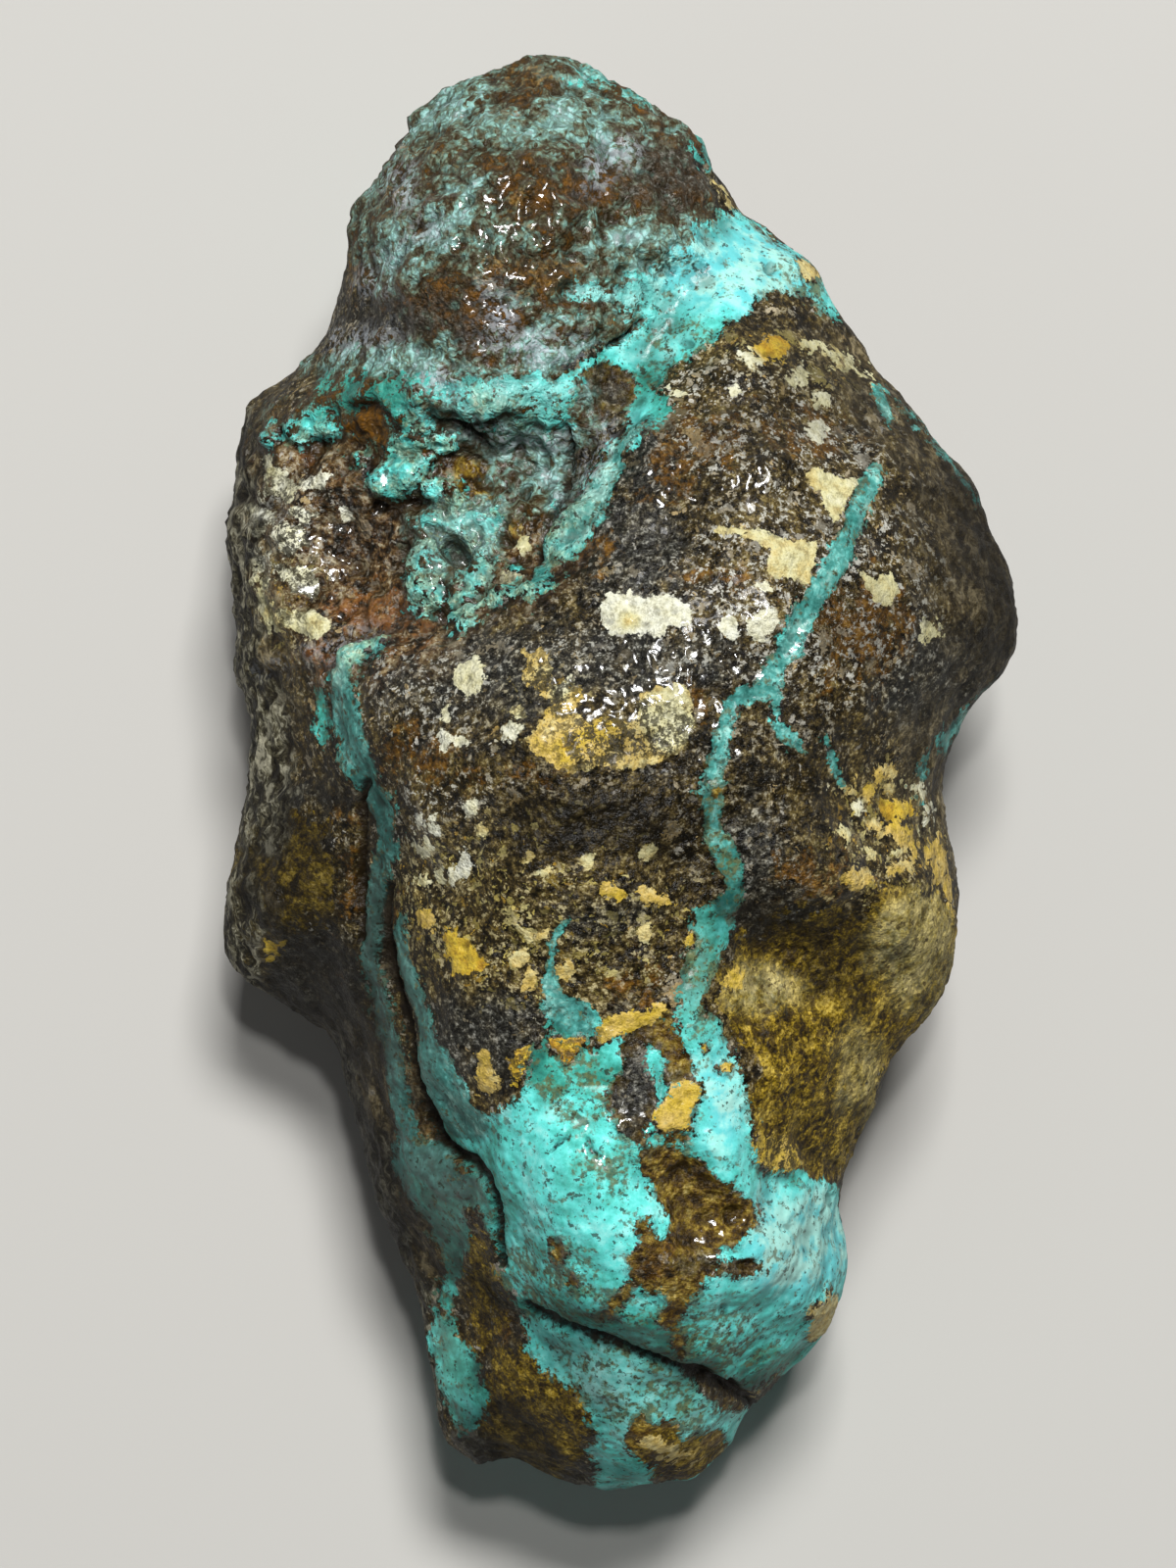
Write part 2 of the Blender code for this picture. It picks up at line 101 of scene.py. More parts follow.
# Broad turquoise, level with the rock
beds = {
    "sky shoulder": [(575, 298), (620, 288), (668, 281), (692, 258), (708, 236), (724, 222), (748, 216),
        (776, 226), (800, 248), (838, 270), (856, 300), (862, 326), (846, 318), (826, 306), (806, 294),
        (788, 291), (777, 302), (764, 316), (744, 325), (730, 338), (700, 326), (670, 320), (640, 315),
        (600, 311)],
    "green shoulder": [(656, 328), (672, 318), (700, 312), (736, 326), (724, 350), (705, 362), (688, 372),
        (676, 386), (674, 402), (682, 412), (676, 424), (662, 432), (648, 442), (641, 430), (640, 412),
        (644, 398), (650, 384), (640, 375), (622, 376), (602, 380), (584, 392), (572, 402), (562, 394),
        (578, 378), (598, 368), (622, 360), (640, 345)],
    "vug ceiling": [(440, 404), (452, 396), (466, 400), (480, 392), (500, 390), (520, 388), (548, 384),
        (556, 388), (574, 398), (588, 404), (582, 420), (580, 430), (570, 438), (556, 430), (544, 428),
        (530, 416), (516, 414), (500, 420), (490, 430), (478, 428), (466, 418), (452, 414)],
    "dark ceiling": [(322, 396), (336, 388), (346, 394), (360, 386), (374, 384), (392, 390), (410, 384),
        (432, 388), (446, 400), (440, 418), (436, 428), (420, 436), (410, 428), (404, 420), (394, 410),
        (380, 404), (366, 414), (352, 410), (340, 404), (326, 406)],
    "ridge in the vug": [(430, 424), (444, 428), (456, 440), (462, 452), (456, 464), (446, 474), (438, 484),
        (428, 494), (418, 500), (406, 506), (394, 504), (382, 501), (378, 494), (384, 482), (392, 468),
        (400, 454), (410, 440), (420, 430)],
    "side of the vug": [(296, 440), (310, 426), (322, 414), (336, 406), (346, 416), (350, 428), (344, 442),
        (334, 452), (322, 448), (310, 456), (300, 450)],
    "left lip": [(270, 446), (280, 434), (292, 436), (290, 450), (282, 458), (274, 456)],
    "knob": [(354, 464), (362, 458), (374, 462), (376, 472), (364, 476), (356, 472)],
    "small blob": [(432, 494), (444, 484), (456, 488), (452, 502), (444, 512), (434, 508)],
    "pale blob": [(460, 496), (468, 490), (474, 500), (470, 512), (462, 516), (456, 508)],
    "pale heap": [(446, 520), (462, 516), (470, 524), (484, 520), (498, 524), (506, 534), (502, 546),
        (490, 550), (484, 560), (494, 572), (480, 572), (468, 556), (456, 548), (450, 540), (440, 534)],
    "column": [(436, 536), (446, 546), (450, 560), (446, 572), (450, 588), (454, 604), (450, 618),
        (436, 622), (424, 610), (418, 592), (418, 574), (428, 558)],
    "foot of the column": [(420, 624), (434, 621), (441, 629), (426, 633)],
    "step in the vug": [(484, 562), (496, 560), (504, 572), (500, 588), (494, 600), (488, 612), (474, 616),
        (462, 622), (456, 612), (466, 600), (476, 588), (482, 576)],
    "ledge in the vug": [(510, 584), (524, 576), (534, 580), (526, 590)],
    "beside the left vein": [(324, 706), (334, 700), (338, 712), (332, 722), (336, 734), (330, 746),
        (336, 756), (328, 760), (318, 746), (322, 728)],
    "neck of the cap": [(708, 926), (730, 916), (750, 922), (748, 945), (742, 965), (734, 985), (726, 1002),
        (722, 1022), (714, 1046), (698, 1050), (692, 1034), (694, 1010), (700, 990), (704, 970),
        (700, 950)],
    "cap": [(424, 1066), (446, 1062), (456, 1074), (467, 1094), (481, 1110), (489, 1127), (501, 1135),
        (520, 1129), (532, 1118), (537, 1098), (545, 1075), (553, 1062), (561, 1050), (556, 1030),
        (560, 1008), (572, 1018), (590, 1022), (604, 1034), (610, 1048), (599, 1060), (606, 1072),
        (622, 1064), (640, 1052), (664, 1040), (690, 1042), (704, 1050), (712, 1036), (732, 1038),
        (744, 1060), (754, 1082), (764, 1102), (769, 1120), (773, 1140), (770, 1165), (777, 1186),
        (800, 1197), (818, 1190), (832, 1202), (850, 1208), (866, 1212), (868, 1232), (872, 1262),
        (872, 1318), (866, 1348), (850, 1372), (836, 1384), (818, 1396), (790, 1404), (766, 1420),
        (745, 1420), (728, 1408), (700, 1398), (660, 1386), (610, 1371), (575, 1352), (540, 1337),
        (516, 1316), (505, 1292), (500, 1268), (498, 1240), (488, 1206), (474, 1184), (450, 1166),
        (436, 1140), (428, 1104)],
    "foot": [(526, 1332), (548, 1336), (575, 1350), (600, 1362), (650, 1380), (690, 1394), (714, 1412),
        (730, 1436), (748, 1442), (772, 1440), (760, 1480), (740, 1508), (700, 1536), (662, 1540),
        (610, 1536), (603, 1516), (607, 1500), (601, 1480), (607, 1462), (597, 1440), (584, 1421),
        (560, 1408), (546, 1388), (536, 1372)],
    "strip on the lower left": [(440, 1336), (460, 1348), (474, 1376), (487, 1400), (495, 1430),
        (491, 1450), (478, 1464), (462, 1452), (450, 1430), (442, 1400), (436, 1368)],
    "grey face": [(404, 1150), (424, 1160), (440, 1172), (462, 1180), (478, 1188), (492, 1206), (500, 1240),
        (498, 1262), (484, 1236), (472, 1232), (476, 1262), (472, 1290), (466, 1320), (456, 1342),
        (446, 1332), (450, 1300), (444, 1276), (438, 1256), (422, 1236), (408, 1214), (402, 1188)],
}

# Brown rock that shows through the turquoise
windows = {
    "dark strip": [(637, 1055), (651, 1046), (666, 1039), (686, 1033), (694, 1056), (706, 1076),
        (703, 1104), (684, 1107), (676, 1102), (678, 1080), (673, 1072), (665, 1072), (662, 1091),
        (666, 1113), (666, 1142), (660, 1170), (642, 1166), (634, 1148), (624, 1142), (617, 1117),
        (626, 1098), (635, 1092), (631, 1072)],
    "under the lump": [(676, 1154), (704, 1158), (702, 1174), (690, 1172), (678, 1166)],
    "pit": [(650, 1176), (664, 1168), (690, 1172), (706, 1182), (718, 1190), (734, 1204), (752, 1218),
        (776, 1232), (782, 1246), (770, 1256), (762, 1268), (750, 1276), (736, 1276), (728, 1284),
        (750, 1290), (776, 1286), (780, 1296), (760, 1304), (735, 1300), (722, 1312), (712, 1326),
        (704, 1336), (696, 1360), (700, 1380), (690, 1384), (684, 1360), (672, 1350), (684, 1334),
        (680, 1322), (656, 1316), (642, 1300), (642, 1286), (656, 1270), (650, 1256), (648, 1240),
        (660, 1240), (668, 1262), (680, 1256), (686, 1244), (676, 1226), (664, 1212), (654, 1196)],
    "curl": [(640, 1308), (646, 1312), (634, 1330), (624, 1348), (614, 1354), (612, 1344), (620, 1330)],
    "patch by the crease": [(560, 1264), (570, 1262), (574, 1280), (570, 1296), (562, 1288)],
    "small patch": [(572, 1300), (582, 1296), (590, 1312), (584, 1322), (574, 1316)],
    "under the cap": [(712, 1402), (740, 1412), (764, 1422), (764, 1440), (740, 1440), (724, 1426)],
    "pores by the notch": [(812, 1160), (830, 1166), (850, 1180), (862, 1184), (862, 1200), (846, 1206),
        (828, 1200), (818, 1186)],
    "foot brown": [(642, 1450), (654, 1445), (664, 1454), (680, 1452), (696, 1458), (701, 1470),
        (717, 1462), (736, 1460), (748, 1476), (748, 1500), (730, 1516), (700, 1530), (676, 1526),
        (668, 1506), (646, 1492), (638, 1474)],
    "chink": [(470, 1186), (478, 1186), (482, 1194), (474, 1198)],
    "inclusion in the shoulder": [(600, 378), (622, 372), (642, 376), (650, 392), (642, 410), (630, 420),
        (612, 416), (600, 402), (594, 390)],
    "vug yellow": [(462, 472), (474, 462), (490, 462), (502, 472), (508, 490), (506, 508), (496, 520),
        (482, 516), (470, 504), (464, 490)],
    "nick in the vein": [(726, 802), (736, 800), (738, 810), (730, 814)],
}

# Pale and yellow fragments: tone from 0 white through 0.4 cream to 1 orange, then the outline
clasts = {
    "white slab": (0.14, [(611, 614), (619, 606), (642, 604), (658, 609), (675, 603), (692, 610),
        (704, 623), (709, 634), (698, 642), (684, 638), (675, 648), (658, 646), (646, 650), (630, 649),
        (616, 642), (612, 628)]),
    "stain in the white slab": (0.5, [(632, 630), (643, 626), (654, 633), (649, 643), (635, 643)]),
    "cream disc": (0.28, [(460, 686), (468, 676), (480, 673), (486, 668), (494, 676), (496, 694),
        (492, 708), (484, 714), (470, 708), (462, 698)]),
    "pale chip": (0.12, [(446, 744), (454, 746), (460, 756), (452, 768), (446, 762)]),
    "pale chip beside it": (0.16, [(461, 752), (474, 746), (479, 756), (464, 761)]),
    "pale speck": (0.3, [(450, 722), (458, 718), (460, 730), (456, 740), (450, 732)]),
    "cream speck": (0.5, [(520, 718), (530, 720), (538, 730), (528, 736), (520, 730)]),
    "grey chip": (0.16, [(512, 744), (524, 738), (534, 746), (528, 756), (516, 756)]),
    "spotted slab": (0.62, [(534, 757), (544, 744), (552, 730), (560, 716), (580, 706), (592, 698),
        (596, 708), (588, 722), (598, 736), (620, 730), (640, 736), (650, 724), (652, 706), (664, 700),
        (690, 697), (702, 704), (706, 726), (708, 742), (700, 766), (680, 776), (650, 784), (620, 780),
        (604, 786), (585, 788), (560, 778)]),
    "orange heart of the slab": (0.82, [(576, 752), (590, 742), (604, 736), (622, 736), (632, 748),
        (640, 760), (622, 758), (600, 756), (590, 764), (584, 780), (564, 774), (556, 762)]),
    "pale end of the slab": (0.36, [(652, 712), (664, 700), (690, 697), (702, 704), (706, 726), (708, 742),
        (700, 766), (684, 772), (664, 760), (650, 744)]),
    "arm of the slab": (0.6, [(532, 664), (540, 670), (548, 662), (558, 668), (562, 680), (558, 690),
        (568, 698), (582, 696), (591, 701), (586, 713), (572, 720), (559, 716), (550, 706), (538, 701),
        (529, 690), (535, 679)]),
    "white of the arm": (0.2, [(560, 700), (580, 690), (588, 694), (576, 706), (562, 710)]),
    "cream wedge": (0.44, [(722, 543), (745, 541), (780, 545), (800, 549), (834, 552), (834, 572),
        (828, 594), (806, 588), (784, 584), (778, 572), (784, 560), (760, 550), (730, 548)]),
    "cream piece": (0.44, [(874, 580), (892, 588), (912, 586), (920, 600), (914, 616), (904, 622),
        (896, 612), (888, 596)]),
    "tan triangle": (0.42, [(820, 482), (838, 480), (860, 490), (880, 492), (868, 506), (858, 520),
        (852, 532), (842, 522), (834, 500)]),
    "orange eye": (0.86, [(768, 352), (778, 346), (792, 346), (806, 358), (796, 366), (780, 366),
        (772, 360)]),
    "pink eye": (0.22, [(758, 356), (768, 352), (778, 364), (780, 374), (764, 370)]),
    "shard a": (0.12, [(730, 640), (740, 622), (750, 628), (754, 646), (748, 656), (738, 648)]),
    "shard b": (0.12, [(764, 632), (776, 622), (790, 620), (792, 636), (784, 652), (770, 656), (762, 644)]),
    "shard c": (0.14, [(764, 594), (784, 590), (790, 600), (772, 604)]),
    "shard d": (0.28, [(828, 398), (846, 396), (848, 410), (836, 418), (828, 410)]),
    "shard e": (0.14, [(822, 432), (838, 426), (846, 434), (842, 450), (832, 444)]),
    "shard f": (0.26, [(682, 398), (694, 394), (700, 404), (688, 410)]),
    "shard g": (0.34, [(802, 380), (816, 374), (826, 384), (818, 394), (804, 392)]),
    "shard h": (0.3, [(742, 392), (752, 388), (758, 398), (746, 402)]),
    "shard i": (0.36, [(936, 640), (954, 630), (962, 644), (950, 656), (940, 652)]),
    "edge streak": (0.4, [(816, 352), (832, 346), (846, 352), (862, 364), (886, 384), (896, 396),
        (880, 388), (860, 372), (838, 358), (820, 358)]),
    "long chip": (0.12, [(454, 900), (458, 886), (466, 876), (472, 868), (479, 874), (477, 888), (472, 898),
        (462, 904)]),
    "upper chip": (0.1, [(436, 836), (442, 830), (448, 838), (453, 850), (448, 856), (440, 848)]),
    "tan grain": (0.5, [(482, 842), (492, 840), (495, 850), (486, 853)]),
    "cream grain": (0.42, [(546, 890), (556, 882), (564, 886), (558, 894), (550, 897)]),
    "green grain": (0.4, [(592, 872), (606, 872), (608, 884), (600, 890), (594, 882)]),
    "thin grain": (0.58, [(530, 876), (540, 866), (545, 871), (534, 880)]),
    "yellow block": (0.84, [(452, 952), (462, 948), (472, 958), (480, 966), (490, 980), (498, 984),
        (488, 990), (474, 994), (462, 992), (458, 978), (452, 966)]),
    "yellow chip a": (0.56, [(519, 974), (532, 968), (536, 978), (532, 988), (521, 988)]),
    "yellow chip b": (0.58, [(564, 984), (580, 978), (590, 986), (582, 998), (568, 997)]),
    "yellow chip c": (0.58, [(528, 1000), (538, 990), (548, 996), (544, 1010), (532, 1010)]),
    "pale bar": (0.52, [(524, 942), (534, 948), (546, 954), (562, 944), (558, 956), (544, 964), (536, 962),
        (532, 952)]),
    "pale ring": (0.46, [(650, 946), (660, 942), (666, 954), (660, 966), (650, 960)]),
    "left grain": (0.68, [(422, 930), (434, 924), (444, 936), (442, 950), (430, 952)]),
    "olive streak": (0.74, [(612, 902), (622, 896), (636, 906), (640, 916), (624, 916), (614, 910)]),
    "olive streak b": (0.7, [(646, 908), (660, 906), (680, 918), (690, 922), (672, 926), (656, 922)]),
    "olive blotch": (0.48, [(650, 870), (664, 858), (676, 862), (668, 876), (652, 878)]),
    "tongue": (0.66, [(482, 1078), (496, 1072), (504, 1080), (510, 1098), (514, 1110), (500, 1116),
        (488, 1112), (490, 1094)]),
    "right of the tongue": (0.88, [(520, 1084), (534, 1070), (544, 1072), (536, 1098), (526, 1112)]),
    "yellow triangle": (0.98, [(560, 1060), (596, 1058), (590, 1072), (580, 1086), (570, 1078),
        (562, 1068)]),
    "yellow notch": (0.74, [(604, 1046), (622, 1038), (650, 1030), (664, 1030), (676, 1020), (690, 1024),
        (668, 1044), (650, 1050), (630, 1058), (612, 1066), (604, 1056)]),
    "yellow dot": (0.7, [(712, 1066), (720, 1064), (724, 1072), (716, 1077)]),
    "yellow dots": (0.7, [(734, 1086), (742, 1080), (750, 1086), (748, 1096), (738, 1098)]),
    "tan lump": (0.72, [(664, 1140), (672, 1124), (682, 1106), (700, 1102), (714, 1112), (712, 1124),
        (706, 1134), (706, 1156), (690, 1156), (674, 1154)]),
    "tan edge": (0.5, [(818, 1340), (836, 1326), (866, 1312), (868, 1340), (856, 1366), (832, 1378),
        (818, 1362), (826, 1350)]),
    "tan rim": (0.6, [(800, 1402), (842, 1380), (822, 1396), (792, 1426), (766, 1442), (764, 1430),
        (782, 1416)]),
    "edge of the neck": (0.76, [(698, 950), (708, 948), (712, 962), (702, 966)]),
    "bright bank": (0.74, [(736, 1002), (744, 988), (756, 984), (762, 994), (758, 1008), (746, 1012)]),
    "cluster a": (0.62, [(894, 782), (912, 776), (920, 790), (908, 796), (896, 792)]),
    "cluster b": (0.76, [(882, 806), (894, 796), (898, 806), (886, 816)]),
    "cluster c": (0.88, [(896, 820), (912, 816), (934, 824), (930, 834), (912, 836), (902, 832)]),
    "cluster d": (0.6, [(888, 840), (896, 834), (902, 842), (896, 858)]),
    "cluster e": (0.66, [(856, 890), (868, 884), (882, 886), (892, 888), (888, 902), (880, 912), (868, 908),
        (860, 900)]),
    "cluster h": (0.7, [(900, 842), (916, 838), (928, 848), (938, 864), (926, 866), (912, 856),
        (902, 852)]),
    "cluster i": (0.64, [(902, 882), (920, 876), (936, 878), (928, 888), (908, 892)]),
    "cluster j": (0.46, [(880, 866), (890, 860), (896, 872), (886, 878)]),
    "cluster k": (0.56, [(860, 800), (872, 795), (876, 806), (864, 812)]),
    "cluster l": (0.42, [(906, 798), (918, 800), (916, 812), (904, 810)]),
    "cluster m": (0.24, [(930, 800), (942, 796), (946, 810), (936, 816)]),
    "cluster n": (0.3, [(872, 820), (882, 816), (886, 828), (876, 832)]),
    "cluster o": (0.2, [(940, 826), (950, 824), (952, 840), (943, 842)]),
    "cluster p": (0.36, [(912, 864), (924, 868), (920, 877), (909, 875)]),
    "rim of the bulge": (0.66, [(948, 858), (960, 852), (970, 870), (977, 892), (981, 916), (978, 940),
        (968, 926), (960, 904), (952, 882)]),
    "cluster f": (0.44, [(856, 844), (868, 842), (872, 852), (862, 862)]),
    "nodule": (0.24, [(296, 588), (306, 580), (318, 582), (326, 594), (322, 604), (310, 608), (300, 604)]),
    "bright crust": (0.42, [(264, 604), (276, 606), (286, 616), (300, 622), (306, 632), (298, 642),
        (280, 648), (270, 636), (262, 620)]),
    "cream crust": (0.26, [(270, 464), (282, 466), (292, 480), (290, 490), (306, 502), (302, 514),
        (288, 512), (276, 504), (280, 492), (272, 478)]),
    "crust shelf": (0.14, [(286, 488), (306, 484), (312, 490), (330, 484), (344, 480), (340, 490),
        (328, 498), (312, 500), (300, 494)]),
    "crust drift": (0.2, [(286, 530), (306, 534), (316, 548), (318, 560), (304, 568), (296, 572),
        (286, 560), (280, 545)]),
    "crust froth": (0.18, [(262, 556), (276, 560), (280, 572), (270, 580), (264, 570)]),
    "crust patch a": (0.16, [(258, 520), (274, 516), (280, 530), (272, 544), (260, 540)]),
    "crust patch b": (0.2, [(282, 572), (296, 574), (300, 586), (290, 592), (280, 584)]),
    "crust patch c": (0.3, [(260, 584), (276, 586), (280, 598), (266, 602)]),
    "crust patch d": (0.14, [(296, 520), (312, 516), (326, 522), (318, 534), (302, 530)]),
    "left chip a": (0.26, [(424, 862), (438, 857), (446, 866), (436, 877), (426, 873)]),
    "left chip b": (0.34, [(438, 890), (450, 884), (454, 897), (443, 902)]),
    "left chip c": (0.4, [(422, 898), (433, 893), (438, 905), (427, 911)]),
    "left chip d": (0.18, [(468, 822), (481, 815), (487, 827), (475, 834)]),
    "left chip e": (0.12, [(424, 834), (432, 828), (436, 840), (428, 848)]),
    "crust foot": (0.34, [(300, 624), (318, 622), (330, 630), (340, 644), (326, 654), (310, 648),
        (298, 640)]),
    "little ring": (0.2, [(344, 516), (354, 514), (364, 522), (358, 530), (348, 528)]),
    "vug tan": (0.7, [(520, 536), (530, 528), (536, 540), (526, 546)]),
    "vug pink": (0.16, [(506, 520), (518, 518), (520, 528), (510, 532)]),
    "vug bits": (0.3, [(496, 556), (508, 550), (518, 560), (512, 574), (500, 568)]),
    "vug bits low": (0.26, [(504, 592), (518, 584), (532, 590), (520, 600)]),
    "vug bits right": (0.34, [(530, 552), (542, 546), (546, 560), (534, 566)]),
    "left spot": (0.8, [(274, 962), (284, 960), (288, 970), (280, 980), (272, 972)]),
    "cream streak on the head": (0.24, [(652, 112), (668, 126), (690, 146), (694, 156), (676, 146),
        (660, 130)]),
    "head edge": (0.5, [(730, 184), (742, 192), (750, 212), (738, 206)]),
    "green corner": (0.56, [(816, 266), (834, 268), (842, 286), (826, 290), (812, 280)]),
    "foot tan": (0.58, [(648, 1472), (664, 1466), (682, 1474), (700, 1484), (714, 1484), (708, 1495),
        (688, 1493), (668, 1486), (652, 1484)]),
    "orange pores": (0.76, [(770, 1162), (782, 1154), (800, 1156), (812, 1172), (822, 1184), (812, 1192),
        (790, 1196), (774, 1190), (772, 1176)]),
}

# Soft patches: x, y, half length, half width, and the turn in degrees where there is one
rustSpots = {
    "tip": (545, 76, 26, 14), "brow": (514, 116, 12, 9), "brow left": (460, 137, 14, 8),
    "temple": (440, 156, 16, 7), "cheek": (400, 206, 18, 14), "middle": (530, 208, 18, 16),
    "jaw": (508, 280, 10, 16, 20), "jaw right": (560, 284, 36, 18), "stripe": (622, 332, 34, 7, -6),
    "left rim": (362, 270, 8, 26, 10), "throat": (388, 436, 22, 22), "lip": (286, 428, 14, 10),
    "lip below": (304, 468, 42, 9, 8), "vug floor": (386, 628, 66, 30), "outlet": (350, 672, 56, 14, -16),
    "outlet low": (350, 712, 16, 24), "beside the vein": (330, 700, 14, 24),
    "block corner": (420, 772, 46, 26), "block top": (500, 795, 50, 12),
    "over the wedge": (740, 590, 34, 14), "between": (690, 490, 30, 26), "right block": (880, 640, 52, 60),
    "shoulder": (720, 440, 60, 30), "upper right": (830, 440, 50, 26), "fissure": (392, 940, 7, 44),
    "fissure low": (428, 1120, 9, 52, -18), "below the fissure": (432, 1152, 16, 18, -20),
    "flank": (354, 880, 12, 60), "waist": (830, 892, 40, 26), "cap patch": (664, 1294, 22, 30),
    "left strip": (484, 1290, 14, 60), "low strip": (500, 1352, 26, 34), "grey block": (600, 560, 24, 20),
    "low block": (650, 1010, 26, 22), "low left block": (700, 720, 20, 20),
}
# Charcoal-dark rock; the patches under the ledge, left shade, left foot, olive hollow, crack, low crack and
# roof hollow are painted shade in hollows and creases
darkSpots = {
    "head band": (412, 326, 56, 18), "head post": (476, 346, 12, 26), "brow right": (682, 178, 52, 32),
    "vug depth": (466, 566, 16, 14, 30), "left pocket": (360, 545, 66, 34), "inclusion": (622, 394, 24, 20),
    "under the ledge": (440, 640, 26, 14), "grey top": (480, 690, 110, 36), "wet band": (612, 674, 150, 34),
    "right block": (882, 656, 26, 26), "fissure": (390, 940, 8, 40), "left shade": (300, 815, 50, 12),
    "left foot": (320, 1000, 50, 50), "olive hollow": (800, 950, 60, 26, 10),
    "dark spot": (858, 1130, 14, 9), "strip": (650, 1110, 30, 70), "beside the vein": (770, 880, 24, 60),
    "grey mid": (640, 560, 60, 60), "right grey": (960, 700, 70, 60), "crack": (650, 1386, 110, 8, 20),
    "low crack": (735, 1426, 34, 16, 20), "middle": (620, 935, 40, 18), "pit low": (740, 1290, 40, 12),
    "upper post": (660, 470, 30, 40), "beside the chips": (500, 1060, 60, 50),
    "roof hollow": (482, 446, 32, 12, 20), "glassy hollow": (526, 494, 17, 20),
    "wall": (582, 500, 7, 60, 8),
}
limoniteSpots = {
    "hollow": (850, 1020, 122, 92, 14), "bulge": (930, 975, 70, 72), "low": (830, 1130, 72, 76),
    "corner": (776, 1010, 50, 36), "notch": (846, 1180, 36, 30), "left bump": (308, 895, 34, 62),
    "left bump edge": (258, 900, 18, 60), "foot": (540, 1440, 66, 76, -20),
    "foot edge": (700, 1490, 66, 30), "left strip": (492, 1320, 22, 70, -8),
}

# Cracks and creases: x, y and half width along each
cracks = {
    "under the cap": [(536, 1330, 2), (548, 1340, 4), (575, 1354, 4), (610, 1371, 4), (660, 1387, 4),
        (700, 1399, 5), (735, 1412, 6), (764, 1428, 5), (776, 1440, 3)],
    "crease": [(446, 1160, 4), (462, 1172, 4), (480, 1182, 4), (492, 1198, 4), (500, 1222, 3),
        (505, 1250, 3), (509, 1290, 3)],
    "crack a": [(566, 1176, 0), (574, 1166, 1), (582, 1158, 0)],
    "crack b": [(600, 1160, 0), (604, 1172, 1), (612, 1178, 0)],
    "shadow line": [(656, 326, 1), (642, 344, 2), (624, 356, 1)],
    "fissure": [(398, 905, 3), (390, 925, 5), (388, 950, 5), (394, 975, 5), (402, 1010, 4), (412, 1050, 4),
        (424, 1090, 4), (432, 1130, 4), (452, 1164, 4)],
    "left fissure": [(372, 800, 3), (366, 830, 4), (366, 870, 5), (364, 920, 4), (366, 960, 3)],
    "vug roof": [(446, 424, 0), (470, 432, 2), (488, 444, 1), (502, 456, 0)],
    "vug wall": [(578, 430, 0), (582, 455, 2), (578, 492, 2), (570, 520, 1), (556, 560, 2), (547, 596, 1)],
}

# Pits and pockets: x, y, half length, half width, turn and depth in mm
pits = {
    "shoulder pit": (787, 270, 7, 6, 0, 0.45), "cap pit": (847, 1226, 4, 9, 0, 0.45),
    "cap pit low": (840, 1238, 4, 4, 0, 0.3), "mark": (806, 1250, 8, 4, 0, 0.2),
    "dimple": (700, 350, 8, 5, 0, 0.3), "pocket a": (572, 442, 10, 12, 0, 0.3),
    "pocket c": (466, 566, 15, 12, 30, 1.0), "pocket d": (520, 552, 12, 8, 0, 0.6),
    "pocket e": (428, 514, 16, 8, 0, 0.5), "pocket i": (414, 560, 7, 12, 0, 0.5),
    "pocket j": (448, 628, 12, 8, 0, 0.8), "pocket k": (370, 412, 16, 7, 0, 0.4),
    "pocket m": (490, 612, 10, 6, 0, 0.5), "pocket n": (538, 506, 8, 9, 0, 0.5),
    "pocket o": (390, 520, 8, 8, 0, 0.4), "pit a": (694, 1200, 12, 8, 0, 0.25),
    "pit b": (748, 1242, 14, 10, 0, 0.4), "pit c": (766, 1293, 12, 6, 0, 0.5),
    "pit d": (706, 1264, 14, 10, 0, 0.2), "speck": (740, 1340, 5, 6, 0, 0.2),
    "notch": (628, 1350, 6, 6, 0, 0.2),
}

# The hidden side, drawn in plan: the veins go right through, and come out shifted
backVeins = {
    "through vein": [(860, 470, 8), (820, 560, 12), (780, 640, 10), (700, 720, 13), (660, 800, 12),
        (640, 900, 9), (650, 980, 8)],
    "cross vein": [(300, 620, 5), (400, 640, 9), (520, 600, 12), (620, 620, 9), (700, 700, 7)],
    "low vein": [(440, 1180, 6), (520, 1140, 12), (600, 1120, 9), (700, 1160, 12), (800, 1200, 8)],
}
backBeds = {
    "foot": [(470, 1540), (450, 1420), (500, 1360), (580, 1380), (640, 1330), (720, 1350), (800, 1300),
        (880, 1330), (800, 1460), (720, 1540)],
    "head": [(400, 120), (480, 180), (560, 170), (620, 240), (560, 300), (470, 280), (400, 320), (330, 330),
        (340, 220)],
    "side": [(1040, 560), (980, 600), (930, 650), (950, 700), (1040, 700)],
    "hollow": [(560, 880), (640, 860), (700, 920), (680, 1000), (600, 1020), (550, 960)],
}
backLimonite = {
    "left": (330, 860, 110, 130), "low": (820, 1080, 110, 120), "middle": (560, 560, 120, 70, 10),
    "head": (700, 260, 80, 60),
}
backRust = {
    "a": (480, 760, 90, 60), "b": (760, 560, 80, 90), "c": (620, 1180, 90, 60, 20), "d": (520, 400, 80, 60),
}
backDark = {
    "a": (640, 700, 120, 70), "b": (420, 1060, 90, 120), "c": (850, 860, 90, 90), "d": (620, 330, 70, 90),
}

